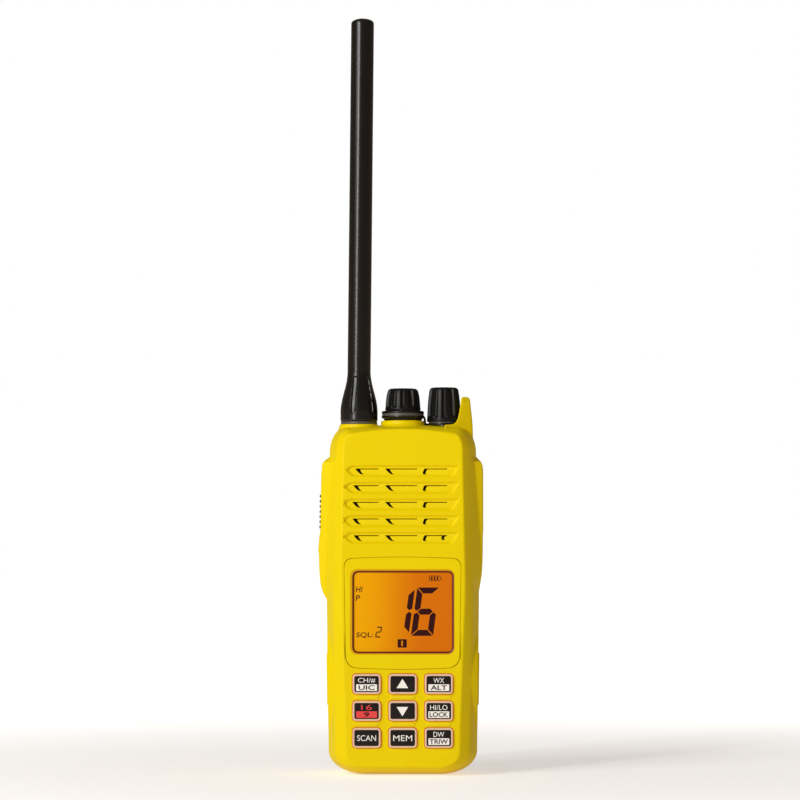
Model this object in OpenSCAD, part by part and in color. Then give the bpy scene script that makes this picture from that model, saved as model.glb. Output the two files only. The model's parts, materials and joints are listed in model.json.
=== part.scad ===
// Handheld VHF two-way radio: two-shell waterproof body with keypad, display, speaker,
// push-to-talk paddle, two knobs, whip antenna, slide-off battery and belt clip.
// +Z is up, the face looks along -Y, and the origin is the centre of the base.

/* [Body] */
// Height from the base to the top deck
body_h = 133.4; // [126:0.1:165]
// Width at the base
body_w = 56.8; // [55:0.1:72]
// Extra width at the waist, both sides together
waist_flare = 1.6; // [0:0.1:3]
// Height of the waist, where the body is widest
waist_z = 67; // [60:1:75]
// Distance from the origin plane forward to the face
face_y = 19; // [18:0.1:22]
// Distance from the origin plane back to the split between the two shells
split_y = 4; // [3.5:0.1:6]
// Wall thickness of the shells
wall = 2.2; // [1.8:0.1:2.6]
// How far the face is set in from the side of the body
face_in = 5.3; // [4:0.1:7]
// How far the face is set in from the base and from the deck
face_drop = 3; // [2:0.1:4]
// How far the side wings stand out of the body
wing_out = 2.4; // [1.5:0.1:4]

/* [Display] */
// Gap between the lens and the edge of the face
lens_margin = 1.3; // [0.8:0.1:3]
// Height of the lens
lens_h = 42; // [38:0.1:44]
// Height of the centre of the lens
lens_z = 62; // [61:0.1:64]
// Thickness of the lens
lens_t = 1.2; // [0.8:0.1:1.3]
// Printed border of the lens, at the sides
lens_border = 3; // [2:0.1:5]
// Height of the viewing window
window_h = 31.2; // [26:0.1:33]

/* [Keypad] */
// Width of a key
key_w = 10.7; // [8:0.1:12.6]
// Height of a key
key_h = 7.5; // [6:0.1:9]
// Column spacing of the keys
key_pitch_x = 13.7; // [12.4:0.1:14]
// Row spacing of the keys
key_pitch_z = 10.2; // [8.7:0.1:10.6]
// Height of the centre of the middle row
key_z = 24.5; // [23:0.1:26]
// How far a key stands out of the face
key_out = 1; // [0.8:0.1:1.6]
// Travel of a key
key_travel = 0.6; // [0.3:0.1:0.7]

/* [Speaker] */
// Diameter of the speaker
speaker_d = 32; // [26:0.5:34]
// Height of the centre of the speaker grille
grille_z = 103.4; // [102:0.1:105]
// Number of grille grooves
groove_n = 5; // [3:1:5]
// Spacing of the grille grooves
groove_pitch = 6.35; // [5.6:0.05:6.4]
// Height of a groove
groove_h = 3.9; // [3:0.1:4.4]

/* [Knobs] */
// Diameter of the volume knob
volume_d = 13.8; // [11:0.1:15.5]
// Height of the volume knob
volume_h = 8.6; // [7.5:0.1:16]
// Diameter of the squelch knob
squelch_d = 13.2; // [11:0.1:14.2]
// Height of the squelch knob
squelch_h = 13.4; // [11:0.1:18]
// Distance between the two knob axes
knob_pitch = 15.8; // [15.2:0.1:18]
// Diameter of the knob shafts
shaft_d = 6; // [4:0.1:6.2]

/* [Antenna] */
// Length of the whip
whip_l = 156.3; // [60:0.1:220]
// Diameter of the whip
whip_d = 8.9; // [8.6:0.1:12]
// Diameter of the whip's foot
whip_foot_d = 14.3; // [12:0.1:16]
// Distance between the antenna axis and the volume knob axis
whip_pitch = 16.9; // [16:0.1:18]

/* [Battery] */
// Thickness of the battery pack
pack_t = 13.2; // [11:0.1:18]
// Height of the battery pack
pack_h = 99.4; // [90:0.1:101]

/* [Belt clip] */
// Width of the belt clip
clip_w = 16; // [12:0.5:24]
// Belt space between the clip and the radio
belt_gap = 6.4; // [5.5:0.1:9]
// Height of the tip of the clip
clip_tip_z = 41; // [30:1:60]

/* [Side controls] */
// Height of the push-to-talk paddle
ptt_h = 32; // [26:0.5:34]
// Travel of the push-to-talk paddle
ptt_travel = 1; // [0.5:0.1:1.1]
// Bore of the speaker-microphone jack
jack_bore = 3.5; // [2.5:0.1:3.6]

/* [Hidden] */

// Colours
yellow = "#f2cf0a";
dark = "#1b1c1a";
amber = "#e8900c";
brass = "#c9a24a";
steel = "#b8bcc0";
board_green = "#1f5a38";
pad_grey = "#5d5f5c";

// Fits and clearances
fit = 0.25;        // gap around a moving piece in its opening
run = 0.05;        // radial clearance of a turning shaft or pin
seat = 0.15;       // gap between pieces that are fixed side by side
eps = 0.01;
arc_n = 6;         // steps of an outline's corner
mid_y = -6;        // depth of the knob and antenna axes

// Half widths of the outline
base_hw = body_w / 2;
waist_hw = base_hw + waist_flare / 2;
shoulder_hw = base_hw - 0.3;
corner = [14, 9];          // half axes of the bottom corners
shoulder = [7.5, 10.5];    // half axes of the top corners
side_y = -8;               // depth where the sides become straight
bevel_y = -face_y + 3.5;   // depth where the face bevel ends
bevel_in = [2.6, 1.2];     // inset of the outline there
inner_y = -face_y + wall;  // inside of the face wall
back_y = split_y + 3;      // back of the chassis plate
pack_y = back_y + 0.3;     // front of the battery pack
pack_back = pack_y + pack_t;
rear_y = pack_back;        // back of the rear housing's hump
hump_z = pack_h + 0.6;     // underside of the hump
face_hw = base_hw + 0.5 - face_in;

function arc(c, r, a0, a1, n = arc_n) =
    [for (i = [0:n]) let (a = a0 + (a1 - a0) * i / n) [c[0] + r[0] * cos(a), c[1] + r[1] * sin(a)]];
function mirrored(points) = [for (i = [len(points) - 1:-1:0]) [-points[i][0], points[i][1]]];
function flip_x(points) = [for (p = points) [-p[0], p[1]]];
function round_rect(w, h, r, n = 5) = concat(
    arc([w / 2 - r, h / 2 - r], [r, r], 0, 90, n), arc([-w / 2 + r, h / 2 - r], [r, r], 90, 180, n),
    arc([-w / 2 + r, -h / 2 + r], [r, r], 180, 270, n), arc([w / 2 - r, -h / 2 + r], [r, r], 270, 360, n));

// Outline of the body seen from the front, inset by ex at the sides and by ez at both ends
function side_points(ex, ez) = concat(
    arc([base_hw - corner[0], corner[1]], [corner[0] - ex, corner[1] - ez], -90, 0),
    [[waist_hw - ex, waist_z]],
    arc([shoulder_hw - shoulder[0], body_h - shoulder[1]], [shoulder[0] - ex, shoulder[1] - ez], 0, 90));
function body_points(ex, ez) = concat(side_points(ex, ez), mirrored(side_points(ex, ez)));

// Draws a front-view outline as a slab between two depths
module slab(y0, y1) {
    translate([0, y1, 0]) rotate([90, 0, 0]) linear_extrude(y1 - y0) children();
}
module body_2d(ex, ez) { polygon(body_points(ex, ez)); }
// A cylinder along Y
module rod_y(r, y0, y1, x = 0, z = 0) {
    translate([x, y0, z]) rotate([-90, 0, 0]) cylinder(r = r, h = y1 - y0, $fn = 48);
}
// A cylinder along X
module rod_x(r, x0, x1, y = 0, z = 0) {
    translate([x0, y, z]) rotate([0, 90, 0]) cylinder(r = r, h = x1 - x0, $fn = 48);
}
// A cylinder along Z
module rod_z(r, z0, z1, x = 0, y = 0) {
    translate([x, y, z0]) cylinder(r = r, h = z1 - z0, $fn = 48);
}
// A box between two corners
module block(a, b) { translate(a) cube([b[0] - a[0], b[1] - a[1], b[2] - a[2]]); }

// Wings
wing_top = body_h - 14.2;
wing_low = waist_z + 0.4;
wing_y = -9.5;
wing_hw = waist_hw + wing_out - 0.5;      // right wing
ptt_hw = wing_hw + 1;                     // left wing
function wing_points(hw, bulge) = [
    [waist_hw - 1.6, wing_top + 2.3], [shoulder_hw, wing_top + 2.1], [hw - 0.7, wing_top + 0.3],
    [hw - 0.1, wing_top - 1.2], [hw, wing_top - 27], [hw + bulge, waist_z + 18],
    [hw - 0.3, waist_z + 9], [hw - 0.8, waist_z + 5], [waist_hw, wing_low], [waist_hw - 1.6, wing_low - 0.6]
];

// Top deck
boss_r = 8.4;
boss_top = body_h + 1.8;
foot_top = body_h + 0.4;
squelch_x = knob_pitch;
web_x = squelch_x - squelch_d / 2 - 0.5;   // right edge of the seal's web
whip_x = -whip_pitch;
knob_gap = 7.7;                    // radius of the hollow around the squelch knob
bush_r = 3.5;
fin_h = 11;                        // height of the guard fin above the deck

// Push-to-talk paddle and jack cover
ptt_top = wing_top - 3;
ptt_bottom = ptt_top - ptt_h;
ptt_y = [-6.5, 2.5];
cover_z = [wing_top - 27, wing_top - 2];
cover_y = [-6.6, 3.2];
cover_pin = [wing_hw - 1, 1.6];        // x and y of the hinge axis
cover_pin_r = 0.5;
cover_knuckle_r = 0.95;
cover_floor = wing_hw - 2;
jack_at = [-1.8, wing_top - 14.5];     // y and z of the jack's axis
jack_face = cover_floor - 1.4;
jack_len = 13;
jack_hw = 3.4;                         // half width of the jack's block
jack_r = 2.9;                          // radius of the jack's collar

// Display
lens_w = 2 * (face_hw - lens_margin);
window_w = lens_w - 2 * lens_border;
lens_seat_y = -face_y + lens_t + 0.1;
lens_crown = 1.2;
lcd_w = window_w + 2.6;
lcd_h = window_h + 3;
holder_w = lcd_w + 2.4;
holder_h = lcd_h + 2.4;
lcd_y = inner_y + 0.3;
lcd_t = 2;
light_y = lcd_y + lcd_t + seat;
light_t = 1.8;
function lens_points(g) = let (w = lens_w / 2 + g, t = lens_h / 2 + g, r = 3.6 + g) concat(
    arc([w - r, -t + lens_crown + r], [r, r], -60, 0, 5), arc([w - r, t - lens_crown - r], [r, r], 0, 75, 5),
    [[0, t]], mirrored(concat(arc([w - r, -t + lens_crown + r], [r, r], -60, 0, 5),
    arc([w - r, t - lens_crown - r], [r, r], 0, 75, 5))), [[0, -t]]);

// Keypad
key_r = 1.3;
key_flange = 0.7;
key_flange_t = 0.8;
key_back = inner_y + 0.1 + key_flange_t;
mat_y = key_back + key_travel + 0.2;
mat_t = 1;
board_y = inner_y + 6;
board_t = 1.6;
dome_t = 0.4;

// Inside
board_hw = base_hw - 8;
board_z = [4.6, grille_z + 13];
boss_x = base_hw - 4.8;
boss_z = [12, 78];
board_boss = [[15, 7], [17.5, 84.2]];
boss_post_r = 2.6;
board_post_r = 2.1;
screw_r = 1.25;
speaker_r = speaker_d / 2;
groove_deep = 0.9;
slot_h = 2.2;
slot_runs = [[-18.2, -9.1, 1.4], [-6.5, 5.6, 1.9], [7.9, 17.5, -0.9]];   // ends and slant of each slot
mic_at = [14.6, grille_z - 13.1];
mic_hole_r = 0.8;
mic_r = 2.2;
mic_boot_r = 3;

// Rails
rail_x = 18;
rail_z = [14, pack_h - 3];
rail_out = 2;
function rail_points(g) = [[-1.5 - g, -g], [1.5 + g, -g], [2.3 + g, rail_out + g], [-2.3 - g, rail_out + g]];

// Battery
pack_hw = base_hw - 1.1;
lid_t = 3.2;
lid_y = pack_y + lid_t;
contact_z = pack_h - 12;
contact_x = [-7, 0, 7];
contact_r = 2;              // chassis contacts
pad_r = 2.6;                // the pack's own contact pads
charge_r = 2.2;             // charging contacts
charge_x = [-6, 6];
charge_z = 14;
pack_wall = 2.6;            // side walls of the battery case
pack_floor = 1.5;           // back wall of the battery case
cell_z = 11;                // underside of the cell space
latch_hw = 7.6;
latch_z = [0.5, 7.2];
latch_travel = 2.5;
latch_tip = back_y - 1.5;
latch_back = latch_tip + 7.4;
latch_pocket = [8.6, latch_back + latch_travel + 1.2];
latch_spring_r = 1.7;
latch_spring_z = 3.9;
latch_bore = latch_back - latch_travel - 0.2;   // bottom of the spring's bore in the latch

// Belt clip
clip_y = rear_y + belt_gap;         // inner face of the strap
clip_t = 2.4;
clip_axis = [clip_y - 2.4, body_h - 17.4];
clip_top = body_h - 5.4;
clip_pin_r = 1.2;
hub_r = 2.2;
ear_x = [clip_w / 2 - 2.4, clip_w / 2];
hub_x = [2.5, clip_w / 2 - 2.65];
bracket_z = [body_h - 27.4, body_h - 6.4];
bracket_t = 1.5;
bracket_screw_z = [bracket_z[0] + 2.8, bracket_z[1] - 2.8];
eye_at = [-18, rear_y + 2.3, body_h - 11];
eye_r = 1.6;
eye_rim = eye_r + 1.6;
lug_w = 4.8;

module fin_2d() {
    top = body_h + fin_h;
    polygon(concat(
        [[shoulder_hw - 4, wing_top + 1], [shoulder_hw, wing_top + 1], [shoulder_hw - 0.9, wing_top + 5],
         [shoulder_hw - 1.4, body_h - 4], [shoulder_hw - 1.7, body_h + 2.6]],
        arc([shoulder_hw - 4.1, top - 1.5], [1.5, 1.5], 0, 180),
        [[shoulder_hw - 6.1, body_h + 5]],
        arc([shoulder_hw - 10, body_h + 4], [3.8, 4], 0, -90),
        [[shoulder_hw - 10, body_h - 1.5]]));
}

module groove_2d(i) {
    z = grille_z + ((groove_n - 1) / 2 - i) * groove_pitch;
    tip = -(face_hw - 1.5) + 0.35 * pow(i - groove_n / 2, 2);
    h = groove_h / 2;
    translate([0, z]) polygon([[tip, 0.4], [tip + 1.4, h], [-tip - 1.5, h], [-tip, 0.6],
                               [-tip - 3, -h], [tip + 3, -h]]);
}
module slots_2d(i) {
    z = grille_z + ((groove_n - 1) / 2 - i) * groove_pitch;
    h = slot_h / 2;
    for (s = slot_runs)
        translate([0, z]) polygon([[s[0], h], [s[1], h], [s[1], -h], [s[0] + s[2], -h]]);
}

module housing_skin() {
    hull() {
        slab(-face_y, -face_y + eps) body_2d(face_in, face_drop);
        slab(bevel_y, bevel_y + eps) body_2d(bevel_in[0], bevel_in[1]);
        slab(side_y, split_y) body_2d(0, 0);
    }
}
module housing_cavity() {
    hull() {
        slab(inner_y, inner_y + eps) body_2d(face_in + wall * 0.7, face_drop + wall * 0.7);
        slab(bevel_y + wall * 0.8, bevel_y + wall * 0.8 + eps)
            body_2d(bevel_in[0] + wall, bevel_in[1] + wall);
        slab(side_y, split_y + 1) body_2d(wall, wall);
    }
}
module wings(y0, y1) {
    slab(y0, y1) polygon(wing_points(wing_hw, -0.3));
    slab(y0, y1) polygon(flip_x(wing_points(ptt_hw, 0.4)));
}
module key_places() {
    for (row = [1:-1:-1], col = [-1:1])
        translate([col * key_pitch_x, 0, key_z + row * key_pitch_z]) children();
}

module front_housing() {
    color(yellow) difference() {
        union() {
            difference() {
                housing_skin();
                housing_cavity();
            }
            wings(wing_y, split_y);
            difference() {
                slab(-14, split_y) fin_2d();
                housing_cavity();
            }
            rod_z(boss_r, body_h - wall + 0.3, boss_top, 0, mid_y);
            rod_z(whip_foot_d / 2 + 0.3, body_h - wall + 0.3, foot_top, whip_x, mid_y);
            for (x = [-boss_x, boss_x], z = boss_z) rod_y(boss_post_r, -11.5, split_y, x, z);
            for (p = board_boss, s = [-1, 1])
                rod_y(board_post_r, inner_y - 0.5, board_y - seat, s * p[0], p[1]);
            // Tactile ridges between the key rows
            for (row = [-0.5, 0.5], col = [-1:1])
                translate([col * key_pitch_x, 0, key_z + row * key_pitch_z])
                    slab(-face_y - 0.35, -face_y + 0.5) polygon(round_rect(key_w - 1.6, 1.1, 0.3, 3));
        }
        rod_z(knob_gap, body_h, body_h + 30, squelch_x, mid_y);
        // Display seat and window
        translate([0, 0, lens_z]) {
            slab(-face_y - 1, lens_seat_y) polygon(lens_points(0.2));
            slab(-face_y - 1, inner_y + 1) polygon(round_rect(window_w + 0.6, window_h + 0.6, 2));
        }
        // Key openings
        key_places() slab(-face_y - 1, inner_y + 1)
            polygon(round_rect(key_w + 2 * fit, key_h + 2 * fit, key_r + fit));
        // Grille
        for (i = [0:groove_n - 1]) {
            slab(-face_y - 1, -face_y + groove_deep) groove_2d(i);
            slab(-face_y - 1, inner_y + 1) slots_2d(i);
        }
        rod_y(mic_hole_r, -face_y - 1, inner_y + 1, mic_at[0], mic_at[1]);
        // Knob bushes and antenna jack
        rod_z(bush_r + seat, body_h - 10, boss_top + 1, 0, mid_y);
        rod_z(bush_r + seat, body_h - 10, boss_top + 1, squelch_x, mid_y);
        rod_z(bush_r + seat, body_h - 10, boss_top + 1, whip_x, mid_y);
        // Screw pilot holes
        for (x = [-boss_x, boss_x], z = boss_z) rod_y(screw_r + run, -7, split_y + 1, x, z);
        for (p = board_boss, s = [-1, 1]) rod_y(1 + run, board_y - 5, board_y + 1, s * p[0], p[1]);
        // Push-to-talk opening
        block([-ptt_hw - 3, ptt_y[0], ptt_bottom], [-base_hw + wall + 2, ptt_y[1], ptt_top]);
        // Jack cover pocket, hinge pin seats and jack hole
        block([cover_floor, cover_y[0], cover_z[0]], [wing_hw + 3, cover_y[1], cover_z[1]]);
        rod_z(cover_pin_r + 0.02, cover_z[0] - 1.6, cover_z[1] + 1.6, cover_pin[0], cover_pin[1]);
        rod_x(jack_r + 0.2, cover_floor - 8, cover_floor + 1, jack_at[0], jack_at[1]);
        // Seats of the side grip pads
        for (s = [-1, 1])
            block([s * (base_hw + 0.5) - 0.5, -6.2, 25.8], [s * (base_hw + 0.5) + 0.5, 3.2, 46.2]);
    }
}

module hump_2d(e) {
    intersection() {
        body_2d(e, e * 0.5);
        translate([-body_w, hump_z]) square([2 * body_w, body_h]);
    }
}

module rear_housing() {
    color(yellow) difference() {
        union() {
            slab(split_y, back_y) body_2d(0, 0);
            wings(split_y, back_y);
            difference() {
                hull() {
                    slab(split_y, back_y) hump_2d(0);
                    slab(rear_y - 4, rear_y - 4 + eps) hump_2d(1.2);
                    slab(rear_y - eps, rear_y) hump_2d(3.6);
                }
                slab(split_y - 1, rear_y - 1.8) offset(delta = -wall - 1.4) hump_2d(1.2);
            }
            for (x = [-rail_x, rail_x]) translate([x, back_y, rail_z[0]])
                linear_extrude(rail_z[1] - rail_z[0]) polygon(rail_points(0));
            // Lanyard lug
            rod_x(eye_rim, eye_at[0] - lug_w / 2, eye_at[0] + lug_w / 2, eye_at[1], eye_at[2]);
            block([eye_at[0] - lug_w / 2, rear_y - 1, eye_at[2] - eye_rim],
                  [eye_at[0] + lug_w / 2, eye_at[1], eye_at[2] + eye_rim]);
        }
        rod_x(eye_r, eye_at[0] - lug_w, eye_at[0] + lug_w, eye_at[1], eye_at[2]);
        // Gasket groove
        slab(split_y - 1, split_y + 0.9) difference() {
            body_2d(0.5, 0.5);
            body_2d(1.7, 1.7);
        }
        // Cavity of the hump, open to the front
        slab(split_y - 1, back_y + 1) offset(delta = -wall - 1.4) hump_2d(1.2);
        // Screw holes
        for (x = [-boss_x, boss_x], z = boss_z) {
            rod_y(screw_r + seat, split_y - 1, back_y + 1, x, z);
            rod_y(2.4, back_y - 1.4, back_y + 1, x, z);
        }
        for (z = bracket_screw_z) rod_y(screw_r + run, rear_y - 3, rear_y + 1, 0, z);
        // Contact seats and latch notch
        for (x = contact_x) rod_y(contact_r + run, split_y - 1, back_y + 1, x, contact_z);
        block([-latch_hw - 0.4, latch_tip - 0.3, -1], [latch_hw + 0.4, back_y + 1, latch_z[1] + 0.5]);
    }
}

module housing_gasket() {
    color(dark) slab(split_y + 0.02, split_y + 0.85) difference() {
        body_2d(0.6, 0.6);
        body_2d(1.6, 1.6);
    }
}

module display_lens() {
    color(amber) translate([0, 0, lens_z]) slab(-face_y, -face_y + lens_t) polygon(lens_points(0));
}
module lcd_glass() {
    color(amber) translate([0, 0, lens_z])
        slab(lcd_y, lcd_y + lcd_t) polygon(round_rect(lcd_w, lcd_h, 0.6, 2));
}
module lcd_holder() {
    color("white") translate([0, 0, lens_z]) slab(lcd_y, light_y + light_t) difference() {
        square([holder_w, holder_h], center = true);
        square([lcd_w + 2 * seat, lcd_h + 2 * seat], center = true);
    }
}
module backlight_panel() {
    color("white") translate([0, 0, lens_z])
        slab(light_y, light_y + light_t) square([lcd_w, lcd_h], center = true);
}

module keypad_mat() {
    w = 2 * key_pitch_x + key_w + 2.6;
    h = 2 * key_pitch_z + key_h + 2;
    color("orange") {
        translate([0, 0, key_z]) slab(mat_y, mat_y + mat_t) polygon(round_rect(w, h, 1.5));
        key_places() rod_y(1.8, mat_y + mat_t - eps, board_y - dome_t - 0.2);
    }
}
module key_domes() {
    color(steel) key_places() rod_y(2.4, board_y - dome_t, board_y);
}
// A key at the given column and row: -1, 0 or 1
module key_cap(col, row, top_colour) {
    color(top_colour) translate([col * key_pitch_x, 0, key_z + row * key_pitch_z]) {
        slab(-face_y - key_out, key_back - key_flange_t + eps) polygon(round_rect(key_w, key_h, key_r));
        slab(key_back - key_flange_t, key_back)
            polygon(round_rect(key_w + 2 * key_flange, key_h + 2 * key_flange, key_r));
    }
}
module key_channel() { key_cap(-1, 1, dark); }
module key_up() { key_cap(0, 1, dark); }
module key_weather() { key_cap(1, 1, dark); }
module key_call() { key_cap(-1, 0, "#c0392f"); }
module key_down() { key_cap(0, 0, dark); }
module key_power() { key_cap(1, 0, dark); }
module key_scan() { key_cap(-1, -1, dark); }
module key_memory() { key_cap(0, -1, dark); }
module key_watch() { key_cap(1, -1, dark); }

module main_board() {
    color(board_green) difference() {
        block([-board_hw, board_y, board_z[0]], [board_hw, board_y + board_t, board_z[1]]);
        rod_y(speaker_r - 2.6, board_y - 1, board_y + board_t + 1, 0, grille_z);
        for (p = board_boss, s = [-1, 1]) rod_y(1.1, board_y - 1, board_y + board_t + 1, s * p[0], p[1]);
    }
}
module shield_can() {
    color(steel) difference() {
        block([-board_hw + 3, board_y + board_t + 0.05, 40], [board_hw - 3, board_y + board_t + 4, 80]);
        block([-board_hw + 3.4, board_y + board_t - 1, 40.4],
              [board_hw - 3.4, board_y + board_t + 3.6, 79.6]);
    }
}
module control_board() {
    color(board_green) difference() {
        block([-9, mid_y - 6, pot_z[0] - 1.2], [squelch_x + 6.4, mid_y + 6, pot_z[0] - 0.1]);
        rod_z(0.8, pot_z[0] - 3, pot_z[0] + 1, -7.6, mid_y);
    }
}

module speaker_frame() {
    y = inner_y + 0.7;
    color(pad_grey) translate([0, y, grille_z]) rotate([-90, 0, 0]) rotate_extrude($fn = 64)
        polygon([[speaker_r - 1.8, 0], [speaker_r, 0], [speaker_r, 1.6], [speaker_r - 3, 1.6],
                 [speaker_r - 5.5, 6], [8, 6], [8, 9.4], [0, 9.4], [0, 4.8], [speaker_r - 7, 4.8],
                 [speaker_r - 4, 0.9], [speaker_r - 1.8, 0.9]]);
}
module speaker_cone() {
    y = inner_y + 0.7;
    color(dark) translate([0, y, grille_z]) rotate([-90, 0, 0]) rotate_extrude($fn = 64)
        polygon([[0, 0.6], [4, 1.4], [7, 3.6], [speaker_r - 4.6, 0.3], [speaker_r - 2, 0.2],
                 [speaker_r - 2, 0.6], [speaker_r - 4.4, 0.7], [7, 4.2], [4, 2.4], [0, 1.4]]);
}
module speaker_membrane() {
    color(dark) difference() {
        translate([0, 0, grille_z]) slab(inner_y + 0.1, inner_y + 0.4)
            polygon(round_rect(2 * (face_hw - 3.2), (groove_n - 1) * groove_pitch + groove_h + 1, 2));
        rod_y(mic_r, inner_y - 1, inner_y + 2, mic_at[0], mic_at[1]);
    }
}
module microphone() {
    color(steel) rod_y(mic_r, inner_y + 1.2, inner_y + 3.4, mic_at[0], mic_at[1]);
}
module microphone_boot() {
    color(dark) difference() {
        rod_y(mic_boot_r, inner_y + 0.45, inner_y + 3.4, mic_at[0], mic_at[1]);
        rod_y(mic_r + run, inner_y + 1.15, inner_y + 4, mic_at[0], mic_at[1]);
        rod_y(mic_hole_r, inner_y, inner_y + 2, mic_at[0], mic_at[1]);
    }
}

pot_z = [body_h - 11, body_h - wall - 1.2];
pot_hw = 5.2;
bush_top = [boss_top + 3.4, body_h + 3.2];
nut_t = 2;
module pot(x, top) {
    color(steel) difference() {
        union() {
            block([x - pot_hw, mid_y - pot_hw, pot_z[0]], [x + pot_hw, mid_y + pot_hw, pot_z[1]]);
            rod_z(bush_r, pot_z[1] - eps, top, x, mid_y);
        }
        rod_z(shaft_d / 2 + run, pot_z[0] + 2, top + 1, x, mid_y);
    }
}
module volume_pot() { pot(0, bush_top[0]); }
module squelch_pot() { pot(squelch_x, bush_top[1]); }
module shaft(x, top) {
    color(steel) difference() {
        rod_z(shaft_d / 2, pot_z[0] + 2.1, top, x, mid_y);
        block([x - 4, mid_y + shaft_d / 2 - 1.3, top - 5], [x + 4, mid_y + 4, top + 1]);
    }
}
volume_z = boss_top + 4;
squelch_z = body_h + 1.4;
module volume_shaft() { shaft(0, volume_z + volume_h - 1.4); }
module squelch_shaft() { shaft(squelch_x, squelch_z + squelch_h - 1.8); }
module nut(x, z) {
    translate([x, mid_y, z]) difference() {
        cylinder(r = 5, h = nut_t, $fn = 6);
        translate([0, 0, -1]) cylinder(r = bush_r + run, h = nut_t + 2, $fn = 48);
    }
}
module bush_nuts() {
    color(steel) {
        nut(0, boss_top + 0.02);
        nut(squelch_x, body_h + 0.9);
    }
}
// Ribbed knob: skirt, taper, crown, shaft bore with a flat, hollow underneath and grip ribs
module knob(x, z, d, h, hollow_h) {
    r = d / 2;
    rib_n = 10;
    color(dark) translate([x, mid_y, z]) difference() {
        union() {
            rotate_extrude($fn = 64)
                polygon([[0, 0], [r - 0.5, 0], [r - 0.7, h * 0.72], [r - 1.8, h - 0.9],
                         [r - 2.6, h - 0.2], [0, h]]);
            for (i = [0:rib_n - 1]) rotate([0, 0, (i + 0.5) * 360 / rib_n])
                translate([r - 1.6, -0.9, 0]) cube([1.6, 1.8, h * 0.8]);
        }
        difference() {
            translate([0, 0, -1]) cylinder(r = shaft_d / 2 + 0.02, h = h - 1.4 + 1.1, $fn = 48);
            translate([-4, shaft_d / 2 - 1.25, h - 6.2]) cube([8, 4, h]);
        }
        translate([0, 0, -1]) cylinder(r = 5.25, h = hollow_h + 1, $fn = 48);
    }
}
module volume_knob() { knob(0, volume_z, volume_d, volume_h, 0.6); }
module squelch_knob() { knob(squelch_x, squelch_z, squelch_d, squelch_h, 2.4); }
// Rubber seal: collar under the volume knob, ring under the squelch knob and the web between them
module knob_seal() {
    color(dark) {
        difference() {
            union() {
                translate([0, mid_y, boss_top + 0.02]) rotate_extrude($fn = 64)
                    polygon([[5.6, 0], [7.2, 0], [7.4, 0.6], [8.2, 1], [8.3, 2.6], [7.9, 3], [8.1, 3.4],
                             [7.8, 3.8], [5.6, 3.8]]);
                hull() {
                    block([7.2, mid_y + 0.4, boss_top + 1], [7.9, mid_y + 2.6, boss_top + 2.6]);
                    block([web_x - 0.8, mid_y + 0.4, body_h + 0.1], [web_x, mid_y + 2.6, body_h + 0.8]);
                }
                block([web_x - 0.4, mid_y + 0.4, body_h + 0.1], [web_x + 1.6, mid_y + 2.6, body_h + 0.8]);
                rod_z(6.5, body_h + 0.02, body_h + 0.85, squelch_x, mid_y);
            }
            rod_z(5.2, body_h - 1, body_h + 1.2, squelch_x, mid_y);
            rod_z(boss_r + 0.1, body_h - 2, boss_top, 0, mid_y);
            rod_z(5.6, boss_top - 1, boss_top + 5, 0, mid_y);
        }
    }
}

whip_z = foot_top + 1.1;
foot_h = 22;
connector_r = 4.4;
module antenna_whip() {
    r = whip_d / 2;
    f = whip_foot_d / 2;
    top = whip_l;
    flare = [for (i = [0:10]) let (t = i / 10)
        [r + (f - r) * (0.5 + 0.5 * cos(180 * t)), 4.5 + (foot_h - 4.5) * t]];
    color(dark) translate([whip_x, mid_y, whip_z]) difference() {
        rotate_extrude($fn = 64) polygon(concat(
            [[0, 0], [f - 0.3, 0], [f, 0.4]], flare,
            [[r - 0.02, top - 2]], arc([0, top - 2], [r - 0.02, 2], 10, 90, 5)));
        translate([0, 0, -1]) cylinder(r = connector_r + run, h = 9.4, $fn = 48);
        // Flutes around the foot
        for (i = [0:7]) rotate([0, 0, 45 * i + 22.5]) translate([f - 0.35, 0, 2.6])
            rotate([0, -9.4, 0]) cylinder(r = 0.75, h = 18, $fn = 24);
    }
}
module antenna_connector() {
    color(brass) translate([whip_x, mid_y, whip_z + 0.05]) difference() {
        cylinder(r = connector_r, h = 8, $fn = 48);
        translate([0, 0, -1]) cylinder(r = 3.2, h = 7.5, $fn = 48);
    }
}
module antenna_ring() {
    color(pad_grey) translate([whip_x, mid_y, foot_top + 0.02]) difference() {
        cylinder(r = whip_foot_d / 2 - 0.1, h = 1.02, $fn = 64);
        translate([0, 0, -1]) cylinder(r = bush_r + seat, h = 4, $fn = 48);
    }
}
module antenna_jack() {
    color(brass) difference() {
        union() {
            translate([whip_x, mid_y, body_h - wall - 3.6]) cylinder(r = 4.6, h = 3.2, $fn = 6);
            rod_z(bush_r, body_h - wall - 0.5, foot_top + 1, whip_x, mid_y);
            rod_z(3.1, foot_top + 0.9, foot_top + 6.4, whip_x, mid_y);
            rod_z(1.6, body_h - wall - 6, body_h - wall - 3.5, whip_x, mid_y);
        }
        rod_z(0.6, foot_top + 2, foot_top + 8, whip_x, mid_y);
    }
}

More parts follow.
